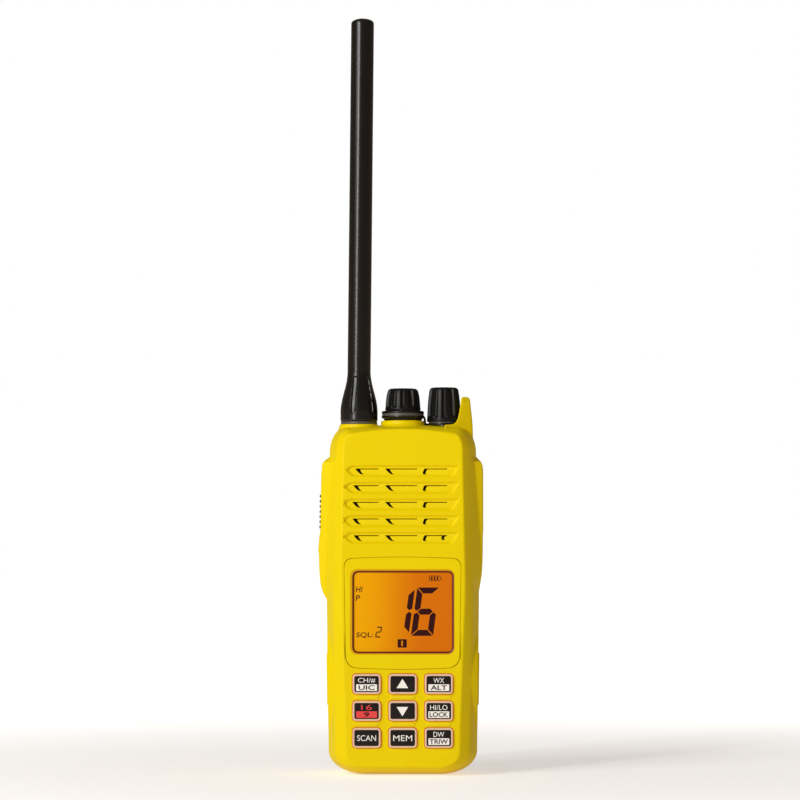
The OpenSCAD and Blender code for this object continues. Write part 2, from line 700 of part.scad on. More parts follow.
paddle_in = shoulder_hw - wall - 0.6;
module ptt_paddle() {
    color(yellow) difference() {
        union() {
            intersection() {
                slab(ptt_y[0], ptt_y[1]) polygon(flip_x(wing_points(ptt_hw + 0.35, 0.4)));
                block([-ptt_hw - 3, ptt_y[0] + fit, ptt_bottom + fit],
                      [-shoulder_hw + 1, ptt_y[1] - fit, ptt_top - fit]);
            }
            block([-shoulder_hw - 1, ptt_y[0] + fit, ptt_bottom + fit],
                  [-paddle_in + 0.1, ptt_y[1] - fit, ptt_top - fit]);
            block([-paddle_in, ptt_y[0] - 0.6, ptt_bottom - 0.8],
                  [-paddle_in + 0.8, ptt_y[1] + 0.6, ptt_top + 0.8]);
        }
        block([-ptt_hw - 3, ptt_y[0] + 1.6, grip_z[0]], [-ptt_hw + 0.9, ptt_y[1] - 1.6, grip_z[1]]);
    }
}
grip_z = [ptt_bottom + 9, ptt_bottom + 23.6];
module ptt_grip() {
    rib_n = 7;
    pitch = (grip_z[1] - grip_z[0] - 0.4) / rib_n;
    color(dark) {
        block([-ptt_hw + 0.2, ptt_y[0] + 1.7, grip_z[0] + 0.1],
              [-ptt_hw + 0.85, ptt_y[1] - 1.7, grip_z[1] - 0.1]);
        for (i = [0:rib_n - 1])
            block([-ptt_hw - 0.55, ptt_y[0] + 1.7, grip_z[0] + 0.2 + i * pitch + 0.2],
                  [-ptt_hw + 0.3, ptt_y[1] - 1.7, grip_z[0] + 0.2 + (i + 0.72) * pitch + 0.2]);
    }
}
membrane_x = paddle_in - 0.8 - ptt_travel - 0.15;
module ptt_membrane() {
    color(dark)
        block([-membrane_x, ptt_y[0] - 0.4, ptt_bottom], [-membrane_x + 0.5, ptt_y[1] + 0.4, ptt_top]);
}
module ptt_switch() {
    z = (ptt_top + ptt_bottom) / 2;
    y = (ptt_y[0] + ptt_y[1]) / 2;
    color(board_green) block([-membrane_x + 2.2, y - 4, z - 8], [-membrane_x + 3, y + 4, z + 8]);
    color(pad_grey) block([-membrane_x + 1, y - 2.6, z - 2.6], [-membrane_x + 2.3, y + 2.6, z + 2.6]);
    color(steel) rod_x(1.2, -membrane_x + 0.6, -membrane_x + 1.1, y, z);
}

module jack_cover() {
    color(yellow) difference() {
        union() {
            block([cover_floor + 0.2, cover_y[0] + fit, cover_z[0] + fit],
                  [wing_hw, cover_pin[1], cover_z[1] - fit]);
            rod_z(cover_knuckle_r, cover_z[0] + fit, cover_z[1] - fit, cover_pin[0], cover_pin[1]);
            rod_x(2.5, cover_floor - 0.9, cover_floor + 0.5, jack_at[0], jack_at[1]);
        }
        rod_z(cover_pin_r + run, cover_z[0] - 1, cover_z[1] + 1, cover_pin[0], cover_pin[1]);
        // Finger notch in the front edge
        block([wing_hw - 0.7, cover_y[0], jack_at[1] - 4], [wing_hw + 1, cover_y[0] + 1.1, jack_at[1] + 4]);
    }
}
module jack_cover_pin() {
    color(steel) rod_z(cover_pin_r, cover_z[0] - 1.5, cover_z[1] + 1.5, cover_pin[0], cover_pin[1]);
}
module accessory_jack() {
    color(dark) difference() {
        union() {
            block([jack_face - jack_len - 1.2, jack_at[0] - jack_hw, jack_at[1] - jack_hw],
                  [shoulder_hw - wall - 0.3, jack_at[0] + jack_hw, jack_at[1] + jack_hw]);
            rod_x(jack_r, shoulder_hw - wall - 0.4, jack_face, jack_at[0], jack_at[1]);
        }
        rod_x(jack_bore / 2, jack_face - jack_len, jack_face + 1, jack_at[0], jack_at[1]);
    }
}
// Raised pads low on both sides
module grip_pads() {
    color(yellow) for (s = [-1, 1])
        block([s * (base_hw + 0.35) - 0.3, -6, 26], [s * (base_hw + 0.35) + 0.3, 3, 46]);
}

// Pan-head screw along Y: head from y0 back, shank forward
module screw(x, z, y_seat, length, head_r = 2.2, head_t = 1.2, r = screw_r) {
    difference() {
        union() {
            rod_y(head_r, y_seat + 0.01, y_seat + head_t, x, z);
            rod_y(r, y_seat - length, y_seat + 0.02, x, z);
        }
        rod_y(0.8, y_seat + head_t - 0.7, y_seat + head_t + 1, x, z);
    }
}
module case_screws() {
    color(steel) {
        for (x = [-boss_x, boss_x], z = boss_z) screw(x, z, back_y - 1.4, 7);
        for (z = bracket_screw_z) screw(0, z, rear_y + bracket_t + 0.01, 3.6);
    }
}
module board_screws() {
    color(steel) for (p = board_boss, s = [-1, 1])
        screw(s * p[0], p[1], board_y + board_t, 5, 1.9, 1, 1);
}

module pack_2d(e) {
    c = [corner[0], corner[1]];
    right = concat(arc([pack_hw - c[0], c[1]], [c[0] - e, c[1]], -90, 0),
                   arc([pack_hw - e - 1.5, pack_h - 1.5], [1.5, 1.5], 0, 90, 3));
    polygon(concat(right, mirrored(right)));
}
module battery_case() {
    color(yellow) difference() {
        hull() {
            slab(lid_y + 0.02, pack_back - 4) pack_2d(0);
            slab(pack_back - eps, pack_back) pack_2d(3.4);
        }
        block([-pack_hw + pack_wall, lid_y - 1, cell_z],
              [pack_hw - pack_wall, pack_back - pack_floor, pack_h - 3]);
        latch_pocket_cut();
        for (x = charge_x) rod_y(charge_r + run, pack_back - 3, pack_back + 1, x, charge_z);
    }
}
module latch_pocket_cut() {
    block([-latch_hw - fit, pack_y - 1, -1], [latch_hw + fit, latch_pocket[1], latch_z[1] + fit]);
    block([-latch_pocket[0] - fit, pack_y - 1, 2.8], [latch_pocket[0] + fit, latch_pocket[1], 4.5]);
}
module battery_lid() {
    color(yellow) difference() {
        slab(pack_y, lid_y) pack_2d(0);
        latch_pocket_cut();
        for (x = [-rail_x, rail_x]) translate([x, back_y, rail_z[0] - 0.3])
            linear_extrude(pack_h) polygon(rail_points(fit));
        for (x = contact_x) rod_y(pad_r + run, pack_y - 1, pack_y + 1.2, x, contact_z);
    }
}
module battery_cells() {
    color("#3f6fb5") for (s = [-1, 1])
        translate([s * (pack_hw - pack_wall) / 2, (lid_y + pack_back - pack_floor) / 2, cell_z + 1])
            linear_extrude(pack_h - cell_z - 7)
                polygon(round_rect(pack_hw - pack_wall - 1, pack_t - lid_t - pack_floor - 0.7, 2));
}
module battery_contacts() {
    color(brass) for (x = contact_x) rod_y(pad_r, pack_y + 0.05, pack_y + 1.15, x, contact_z);
}
module chassis_contacts() {
    color(brass) for (x = contact_x) {
        rod_y(contact_r, split_y + 0.6, back_y + 0.2, x, contact_z);
        rod_y(0.6, split_y - 1.5, split_y + 0.7, x, contact_z);
    }
}
module charge_contacts() {
    color(brass) for (x = charge_x) rod_y(charge_r, pack_back - 1.4, pack_back - 0.1, x, charge_z);
}
module battery_latch() {
    color(dark) difference() {
        union() {
            block([-latch_hw, pack_y + 0.2, latch_z[0]], [latch_hw, latch_back, latch_z[1]]);
            block([-latch_hw + 1.6, latch_tip, 3], [latch_hw - 1.6, pack_y + 0.3, latch_z[1] - 0.4]);
            block([-latch_pocket[0], pack_y + 1, 3], [latch_pocket[0], latch_back, 4.3]);
        }
        // Grip grooves underneath and the spring's bore
        for (i = [0:3])
            block([-5, pack_y + 1.4 + i * 1.3, -1], [5, pack_y + 2 + i * 1.3, latch_z[0] + 0.5]);
        rod_y(latch_spring_r + 0.2, latch_bore, latch_back + 1, 0, latch_spring_z);
    }
}
module latch_spring() {
    color(steel) difference() {
        rod_y(latch_spring_r, latch_back + 0.1, latch_pocket[1] - 0.1, 0, latch_spring_z);
        rod_y(latch_spring_r - 0.5, latch_back - 1, latch_pocket[1] + 1, 0, latch_spring_z);
    }
}

module clip_2d() {
    y = clip_y;
    polygon([[y, clip_top], [y + clip_t, clip_top - 0.6], [y + clip_t, clip_tip_z + 14],
             [rear_y + 3.4, clip_tip_z + 6.5], [rear_y + 5.2, clip_tip_z + 0.6], [rear_y + 3.8, clip_tip_z],
             [rear_y + 0.9, clip_tip_z + 6.5], [y, clip_tip_z + 16]]);
}
// Draws a side-view outline (depth, height) as a plate between two widths
module plate_x(x0, x1) {
    translate([x0, 0, 0]) rotate([90, 0, 90]) linear_extrude(x1 - x0) children();
}
module belt_clip() {
    color(dark) difference() {
        union() {
            plate_x(-clip_w / 2, clip_w / 2) clip_2d();
            for (s = [-1, 1]) {
                x0 = s > 0 ? hub_x[0] : -hub_x[1];
                rod_x(hub_r, x0, x0 + hub_x[1] - hub_x[0], clip_axis[0], clip_axis[1]);
                block([x0, clip_axis[0], clip_axis[1] - hub_r],
                      [x0 + hub_x[1] - hub_x[0], clip_y + 0.1, clip_axis[1] + hub_r]);
            }
        }
        rod_x(clip_pin_r + run, -clip_w, clip_w, clip_axis[0], clip_axis[1]);
    }
}
module clip_bracket() {
    color(dark) difference() {
        union() {
            block([-clip_w / 2, rear_y + 0.01, bracket_z[0]],
                  [clip_w / 2, rear_y + bracket_t, bracket_z[1]]);
            for (s = [-1, 1]) {
                x0 = s > 0 ? ear_x[0] : -ear_x[1];
                rod_x(hub_r, x0, x0 + ear_x[1] - ear_x[0], clip_axis[0], clip_axis[1]);
                block([x0, rear_y + bracket_t - 0.1, clip_axis[1] - hub_r],
                      [x0 + ear_x[1] - ear_x[0], clip_axis[0], clip_axis[1] + hub_r]);
            }
        }
        rod_x(clip_pin_r + 0.02, -clip_w, clip_w, clip_axis[0], clip_axis[1]);
        for (z = bracket_screw_z) rod_y(screw_r + seat, rear_y - 1, rear_y + bracket_t + 1, 0, z);
    }
}
module clip_pin() {
    color(steel) rod_x(clip_pin_r, -clip_w / 2 + 0.1, clip_w / 2 - 0.1, clip_axis[0], clip_axis[1]);
}
module clip_spring() {
    color(steel) difference() {
        rod_x(1.9, -hub_x[0] + 0.15, hub_x[0] - 0.15, clip_axis[0], clip_axis[1]);
        rod_x(clip_pin_r + 0.15, -4, 4, clip_axis[0], clip_axis[1]);
    }
}

front_housing();
rear_housing();
housing_gasket();
display_lens();
lcd_glass();
lcd_holder();
backlight_panel();
keypad_mat();
key_domes();
key_channel();
key_up();
key_weather();
key_call();
key_down();
key_power();
key_scan();
key_memory();
key_watch();
main_board();
shield_can();
control_board();
speaker_frame();
speaker_cone();
speaker_membrane();
microphone();
microphone_boot();
volume_pot();
volume_shaft();
volume_knob();
squelch_pot();
squelch_shaft();
squelch_knob();
bush_nuts();
knob_seal();
antenna_whip();
antenna_connector();
antenna_ring();
antenna_jack();
ptt_paddle();
ptt_grip();
ptt_membrane();
ptt_switch();
jack_cover();
jack_cover_pin();
accessory_jack();
grip_pads();
case_screws();
board_screws();
battery_case();
battery_lid();
battery_cells();
battery_contacts();
chassis_contacts();
charge_contacts();
battery_latch();
latch_spring();
belt_clip();
clip_bracket();
clip_pin();
clip_spring();
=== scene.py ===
"""Looks of the handheld two-way radio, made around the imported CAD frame.

Sizes are in millimetres and become metres when a mesh is made. +Z is up, the face looks along -Y.
Each class is one sub-assembly: it takes its place from the frame's boxes, builds its meshes and dresses them.
"""

import json
import logging
import math
from collections.abc import Callable
from dataclasses import dataclass, field
from enum import Enum

import bmesh
import bpy
import numpy as np
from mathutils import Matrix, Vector
from mathutils.geometry import delaunay_2d_cdt


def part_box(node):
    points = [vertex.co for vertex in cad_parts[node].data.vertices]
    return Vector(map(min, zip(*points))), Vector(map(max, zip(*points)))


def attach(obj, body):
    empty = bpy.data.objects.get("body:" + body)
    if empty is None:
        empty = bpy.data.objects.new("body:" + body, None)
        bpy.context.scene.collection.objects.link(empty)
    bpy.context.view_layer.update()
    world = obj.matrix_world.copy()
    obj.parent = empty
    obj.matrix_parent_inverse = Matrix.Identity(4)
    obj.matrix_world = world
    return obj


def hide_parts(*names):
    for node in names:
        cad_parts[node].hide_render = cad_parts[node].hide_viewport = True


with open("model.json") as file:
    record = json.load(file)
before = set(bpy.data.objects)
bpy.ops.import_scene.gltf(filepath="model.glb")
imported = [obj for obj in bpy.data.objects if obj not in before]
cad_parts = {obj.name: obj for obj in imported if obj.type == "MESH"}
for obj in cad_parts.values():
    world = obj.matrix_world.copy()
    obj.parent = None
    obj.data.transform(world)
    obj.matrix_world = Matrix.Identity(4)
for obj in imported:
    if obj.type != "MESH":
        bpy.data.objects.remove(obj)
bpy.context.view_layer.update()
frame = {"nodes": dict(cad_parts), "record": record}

logging.basicConfig(level=logging.INFO, format="%(message)s")
LOG = logging.getLogger("radio")

MM = 0.001
FACE_Y = -19.0
SPLIT_Y = 4.0
BACK_Y = 7.0
BUMP = 0.05 * MM
WHITE_LIGHT = (1.0, 1.0, 1.0, 1.0)
Place = Callable[[np.ndarray, float], np.ndarray]
Pair = tuple[float, float]
Rgba = tuple[float, float, float, float]
Rows = list[Pair] | np.ndarray
Input = bpy.types.NodeSocket | float | tuple[float, ...]


# --- Finishes ---


def linear(channels: tuple[int, int, int]) -> Rgba:
    """Turns a display colour into the linear colour that a shader takes.

    Args:
        channels: red, green and blue from 0 to 255.

    Returns:
        The linear colour, with full cover.
    """
    share = np.array(channels) / 255
    value = np.where(share <= 0.04045, share / 12.92, ((share + 0.055) / 1.055) ** 2.4)
    return (*value.tolist(), 1.0)


class Tree:
    """The node tree of a material or of the surroundings, with a short way to add any node."""

    def __init__(self, owner: bpy.types.Material | bpy.types.World) -> None:
        """Turns the owner's nodes on and takes its tree."""
        owner.use_nodes = True
        self.nodes, self.links = owner.node_tree.nodes, owner.node_tree.links

    def set(self, node: bpy.types.Node, inputs: dict[str | int, Input]) -> None:
        """Fills a node's inputs.

        Args:
            node: the node.
            inputs: for each input, the socket that it is linked to or the value that it takes.
        """
        for name, value in inputs.items():
            if isinstance(value, bpy.types.NodeSocket):
                self.links.new(value, node.inputs[name])
            else:
                node.inputs[name].default_value = value

    def add(self, kind: str, output: str, inputs: dict[str | int, Input] | None = None,
            **settings: str) -> bpy.types.NodeSocket:
        """Adds a node.

        Args:
            kind: its type, without the prefix that all types share.
            output: the output to give back.
            inputs: what its inputs take.
            settings: its own settings.

        Returns:
            The output's socket.
        """
        node = self.nodes.new("ShaderNode" + kind)
        for name, value in settings.items():
            setattr(node, name, value)
        self.set(node, inputs or {})
        return node.outputs[output]

    def blend(self, share: Input, first: Input, second: Input) -> bpy.types.NodeSocket:
        """Adds a blend of two colours, the second showing by the given share."""
        return self.add("Mix", "Result", {"Factor": share, "A": first, "B": second}, data_type="RGBA")

    def ramp(self, value: Input, span: Pair, result: Pair = (0.0, 1.0),
             shape: str = "LINEAR") -> bpy.types.NodeSocket:
        """Adds a map from one span of values to another.

        Args:
            value: what is mapped.
            span: its lowest and highest values.
            result: what they become.
            shape: how the values between them run.

        Returns:
            The result's socket.
        """
        ends = dict(zip(("From Min", "From Max", "To Min", "To Max"), (*span, *result), strict=True))
        return self.add("MapRange", "Result", {"Value": value} | ends, interpolation_type=shape)


@dataclass(frozen=True)
class Finish:
    """One surface finish: its colours, its gloss and the fine texture that its bump and roughness follow."""

    name: str
    colour: tuple[int, int, int]
    second: tuple[int, int, int]
    roughness: float = 0.4
    roughness_spread: float = 0.06
    metallic: float = 0.0
    specular: float = 0.5
    grain_mm: float = 0.35
    bump: float = 0.12
    cloud_mm: float = 14.0
    edge_lightening: float = 0.0
    glow: float = 0.0
    subsurface: float = 0.0

    def build(self) -> bpy.types.Material:
        """Builds the node material once.

        Returns:
            A material in which a slow cloud shifts the colour and a fine grain gives bump and roughness.
            Convex edges are a little lighter.
        """
        name = "finish_" + self.name
        made = bpy.data.materials.get(name)
        if made:
            return made
        made = bpy.data.materials.new(name)
        first, second = linear(self.colour), linear(self.second)
        made.diffuse_color = first
        tree = Tree(made)
        shader = tree.nodes["Principled BSDF"]
        place = tree.add("TexCoord", "Object")
        cloud, grain = (
            tree.add("TexNoise", "Fac", {"Vector": place, "Scale": 1 / (size * MM), "Detail": octaves})
            for size, octaves in ((self.cloud_mm, 3), (self.grain_mm, 2)))
        colour = tree.blend(cloud, first, second)
        # Convex edges get a lighter colour, more so the sharper they are.
        if self.edge_lightening:
            edge = tree.ramp(tree.add("NewGeometry", "Pointiness"), (0.52, 0.62), (0.0, self.edge_lightening))
            colour = tree.blend(edge, colour, tuple(min(1.0, 1.25 * channel + 0.05) for channel in first))
        low, high = max(0.02, self.roughness - self.roughness_spread), self.roughness + self.roughness_spread
        tree.set(shader, {
            "Base Color": colour,
            "Roughness": tree.ramp(grain, (0.0, 1.0), (low, high)),
            "Normal": tree.add("Bump", "Normal", {"Height": grain, "Strength": self.bump, "Distance": BUMP}),
            "Metallic": self.metallic,
            "Specular IOR Level": self.specular,
            "Subsurface Weight": self.subsurface,
            "Subsurface Radius": (1.0, 0.5, 0.25),
            "Subsurface Scale": MM,
        })
        # Glow makes the surface emit its colour: the display's backlight, and painted light on the key rims,
        # key wells and legends.
        if self.glow:
            tree.set(shader, {"Emission Color": colour, "Emission Strength": self.glow})
        self.dress(tree, shader, place)
        return made

    def dress(self, tree: Tree, shader: bpy.types.Node, place: bpy.types.NodeSocket) -> None:
        """Adds what a special finish has on top of the plain one.

        Args:
            tree: the material's tree.
            shader: its shader.
            place: the socket that gives the position on the object.
        """


@dataclass(frozen=True)
class Backlight(Finish):
    """The lit display: one colour turns into another from the left to the right of a known span."""

    from_x: float = -18.0
    to_x: float = 9.0

    def dress(self, tree: Tree, shader: bpy.types.Node, place: bpy.types.NodeSocket) -> None:
        """Runs the colour along X."""
        x = tree.add("SeparateXYZ", "X", {"Vector": place})
        share = tree.ramp(x, (self.from_x * MM, self.to_x * MM), shape="SMOOTHSTEP")
        colour = tree.blend(share, linear(self.colour), linear(self.second))
        tree.set(shader, {"Base Color": colour, "Emission Color": colour})


@dataclass(frozen=True)
class Paper(Finish):
    """The floor: matt near the object, and brighter with distance, up to the white of the surroundings."""

    near_mm: float = 60.0
    far_mm: float = 700.0
    bounce: Rgba = (0.42, 0.32, 0.25, 1.0)

    def dress(self, tree: Tree, shader: bpy.types.Node, place: bpy.types.NodeSocket) -> None:
        """Makes the glow follow the distance from the object."""
        away = tree.add("VectorMath", "Value", {0: place}, operation="LENGTH")
        rise = tree.ramp(away, (self.near_mm * MM, self.far_mm * MM), (0.5, 1.0), "SMOOTHSTEP")
        seen = tree.blend(tree.add("LightPath", "Is Camera Ray"), self.bounce, WHITE_LIGHT)
        tree.set(shader, {"Emission Color": seen, "Emission Strength": rise})


YELLOW = Finish("yellow_case", (250, 228, 3), (248, 221, 0), 0.36, 0.05, edge_lightening=0.2, bump=0.1, specular=0.12)
YELLOW_GLOSS = Finish("yellow_lens_border", (251, 229, 3), (249, 223, 0), 0.24, 0.03, bump=0.02,
                      specular=0.15)
LENS_SHADE = Finish("lens_border_shade", (232, 176, 4), (226, 168, 2), 0.3, 0.03, bump=0.02, specular=0.15)
RUBBER = Finish("black_rubber", (8, 8, 7), (14, 14, 12), 0.25, 0.05, grain_mm=0.25, bump=0.12,
                specular=0.5)
KNOB = Finish("knob_black", (14, 14, 13), (20, 20, 19), 0.36, 0.07, grain_mm=0.3, bump=0.2, edge_lightening=0.06,
              specular=0.25)
BLACK = Finish("black_plastic", (20, 20, 21), (28, 28, 29), 0.42, 0.08, grain_mm=0.3, bump=0.3, edge_lightening=0.1,
               specular=0.3)
GREY = Finish("grey_plastic", (96, 94, 88), (84, 82, 77), 0.42, 0.08, grain_mm=0.3, bump=0.2)
CLOTH = Finish("speaker_cloth", (16, 12, 8), (26, 20, 12), 0.9, 0.05, grain_mm=0.5, bump=0.6, specular=0.2)
LABEL = Finish("label_black", (30, 27, 25), (36, 32, 30), 0.34, 0.05, bump=0.03, specular=0.2)
# Painted light: the white and red legends glow a little, though the keys are no lamp.
LEGEND = Finish("legend_white", (250, 248, 244), (240, 238, 234), 0.4, 0.05, bump=0.02, glow=0.15)
LEGEND_RED = Finish("legend_red", (232, 70, 70), (226, 60, 62), 0.4, 0.05, bump=0.02, glow=0.12)
# Painted light: the pale key rims glow faintly, though they are no lamp.
KEY_EDGE = Finish("key_edge", (240, 214, 190), (236, 200, 172), 0.35, 0.05, bump=0.03, subsurface=0.35,
                  glow=0.06)
# Painted light: the floor of each key's well glows orange in place of the orange shade and halo around the
# keys, though it is no lamp.
KEY_WELL_PAINTED_GLOW = Finish("key_well_painted_glow", (240, 120, 20), (214, 84, 10), 0.5, 0.05, bump=0.05, glow=0.35)
SEGMENT = Finish("display_segment", (52, 14, 16), (60, 20, 20), 0.5, 0.04, bump=0.01, specular=0.1)
BORDER = Finish("display_border", (122, 26, 6), (110, 20, 4), 0.4, 0.04, bump=0.01)
SCREEN = Backlight("display_backlight", (236, 166, 2), (212, 112, 8), 0.25, 0.02, bump=0.01, glow=0.16,
                   specular=0.08)
STEEL = Finish("steel", (176, 178, 180), (160, 162, 165), 0.3, 0.08, 1.0, grain_mm=0.15, bump=0.15)
BRASS = Finish("brass", (212, 175, 105), (196, 156, 88), 0.3, 0.08, 1.0, grain_mm=0.2, bump=0.1)
BOARD = Finish("circuit_board", (24, 92, 52), (18, 80, 44), 0.4, 0.06, grain_mm=0.4, bump=0.1)
WHITE = Finish("white_plastic", (236, 236, 230), (226, 226, 220), 0.45, 0.06, bump=0.08)
WRAP = Finish("cell_wrap", (70, 110, 175), (60, 98, 160), 0.35, 0.05, cloud_mm=30, bump=0.05)
MAT = Finish("keypad_rubber", (240, 150, 90), (230, 130, 70), 0.5, 0.06, bump=0.1, subsurface=0.3)

PAPER = Paper("floor", (240, 240, 240), (236, 236, 236), 0.8, 0.05, cloud_mm=400)

SLOT_FINISH = {
    "yellow_case": YELLOW,
    "black_rubber": RUBBER,
    "black_plastic": BLACK,
    "grey_plastic": GREY,
    "amber_lens": YELLOW_GLOSS,
    "lcd": SCREEN,
    "key_black": LABEL,
    "key_red": LABEL,
    "keypad_rubber": MAT,
    "white_plastic": WHITE,
    "circuit_board": BOARD,
    "steel": STEEL,
    "brass": BRASS,
    "cell_wrap": WRAP,
    "seal_rubber": RUBBER,
}


# --- Shapes ---


def arc(centre: Pair | np.ndarray, radii: Pair, start: float, end: float, steps: int) -> np.ndarray:
    """Gives the points of an elliptic arc: the centre plus each radius times the angle's cosine and sine.

    Args:
        centre: the ellipse's centre.
        radii: its half axes.
        start, end: angles in degrees.
        steps: number of steps.

    Returns:
        An array of steps + 1 points.
    """
    angle = np.radians(np.linspace(start, end, steps + 1))
    return np.column_stack([centre[0] + radii[0] * np.cos(angle), centre[1] + radii[1] * np.sin(angle)])


def soften(knots: Rows, reach: list[float], steps: int = 5) -> np.ndarray:
    """Rounds the inner corners of a chain of knots.

    Each corner becomes a parabola: (1-t)^2 A + 2t(1-t) C + t^2 B, where C is the corner and A and B lie on
    its two sides at the reach, or at half the side's length if that is less.

    Args:
        knots: list or array whose first axis runs along the chain and whose last axis holds coordinates.
        reach: how far each inner corner's rounding reaches.
        steps: steps of each rounding.

    Returns:
        The rounded chain, along the first axis.
    """
    knots = np.asarray(knots, float)
    t = np.linspace(0, 1, steps + 1).reshape((-1,) + (1,) * (knots.ndim - 1))
    rows = [knots[:1]]
    for corner, size in zip(range(1, len(knots) - 1), reach, strict=True):
        ends = []
        for other in (corner - 1, corner + 1):
            side = knots[other] - knots[corner]
            length = np.maximum(np.linalg.norm(side, axis=-1, keepdims=True), 1e-9)
            ends.append(knots[corner] + side * np.minimum(size / length, 0.5))
        rows.append((1 - t) ** 2 * ends[0] + 2 * t * (1 - t) * knots[corner] + t**2 * ends[1])
    rows.append(knots[-1:])
    return np.concatenate(rows)


def rounded(corners: list[Pair], radius: float | list[float], steps: int = 5) -> np.ndarray:
    """Makes a closed loop from corner points, with each corner rounded.

    Args:
        corners: the corners, anticlockwise.
        radius: one reach for all corners, or one for each.
        steps: steps of each rounding.

    Returns:
        The loop's points, with no repeated end point.
    """
    sizes = radius if isinstance(radius, list) else [radius] * len(corners)
    ring = np.array([corners[-1], *corners, corners[0]], float)
    return soften(ring, sizes, steps)[1:-1]


def inset(loop: np.ndarray, distance: float) -> np.ndarray:
    """Moves a closed anticlockwise loop inwards along the mitre of its two neighbouring edges.

    Args:
        loop: the loop's points.
        distance: how far; negative moves outwards.

    Returns:
        The moved loop, with the same number of points.
    """
    edge = np.roll(loop, -1, 0) - loop
    edge /= np.maximum(np.linalg.norm(edge, axis=1, keepdims=True), 1e-9)
    normal = np.column_stack([-edge[:, 1], edge[:, 0]])
    mitre = normal + np.roll(normal, 1, 0)
    scale = 2 / np.maximum((mitre**2).sum(1, keepdims=True), 1.0)
    return loop + distance * mitre * scale


def within(points: np.ndarray, loop: np.ndarray) -> np.ndarray:
    """Tells which points lie inside a loop: a ray to the right crosses the loop an odd number of times.

    Args:
        points: the points.
        loop: the closed loop.

    Returns:
        One truth value for each point.
    """
    end = np.roll(loop, -1, 0)
    x, y = points[:, :1], points[:, 1:]
    rise = end[:, 1] - loop[:, 1]
    rise = np.where(np.abs(rise) < 1e-12, 1e-12, rise)
    straddles = (loop[:, 1] > y) != (end[:, 1] > y)
    crossing = loop[:, 0] + (end[:, 0] - loop[:, 0]) * (y - loop[:, 1]) / rise
    return (straddles & (x < crossing)).sum(1) % 2 == 1


def front(depth: float) -> Place:
    """Places a flat outline on a plane that faces -Y; height comes forward from the given depth."""
    return lambda flat, height: np.column_stack([flat[:, 0], np.full(len(flat), depth - height), flat[:, 1]])


def back(depth: float) -> Place:
    """Places a flat outline on a plane that faces +Y; height goes back from the given depth."""
    return lambda flat, height: np.column_stack([flat[:, 0], np.full(len(flat), depth + height), flat[:, 1]])


def across(start: float) -> Place:
    """Places an outline of depths and heights square to X; height goes to +X from the given start."""
    return lambda flat, height: np.column_stack([np.full(len(flat), start + height), flat[:, 0], flat[:, 1]])


def side(sign: int, surface: Callable[[np.ndarray], np.ndarray]) -> Place:
    """Places an outline of depths and heights on a side of the body.

    Args:
        sign: 1 for the right side, -1 for the left.
        surface: gives the half width at an array of heights.

    Returns:
        A placing function, whose height goes outwards.
    """
    return lambda flat, height: np.column_stack([sign * (surface(flat[:, 1]) + height), flat[:, 0],
                                                 flat[:, 1]])


def box(x0: float, z0: float, x1: float, z1: float, radius: float, steps: int = 5) -> np.ndarray:
    """Makes a rectangle with rounded corners."""
    return rounded(corner_points(x0, z0, x1, z1), radius, steps)


def circle(x: float, z: float, radius: float, steps: int = 40) -> np.ndarray:
    """Makes a circle's loop."""
    return arc((x, z), (radius, radius), 0, 360, steps)[:-1]


def corner_points(x0: float, z0: float, x1: float, z1: float) -> list[Pair]:
    """Gives a rectangle's corners, anticlockwise from the low left one."""
    return [(x0, z0), (x1, z0), (x1, z1), (x0, z1)]


def level(flat: np.ndarray, height: float) -> np.ndarray:
    """Places a flat outline of widths and depths at a height."""
    return np.column_stack([flat, np.full(len(flat), height)])


ON_FACE = front(FACE_Y)
UPRIGHT = back(0.0)


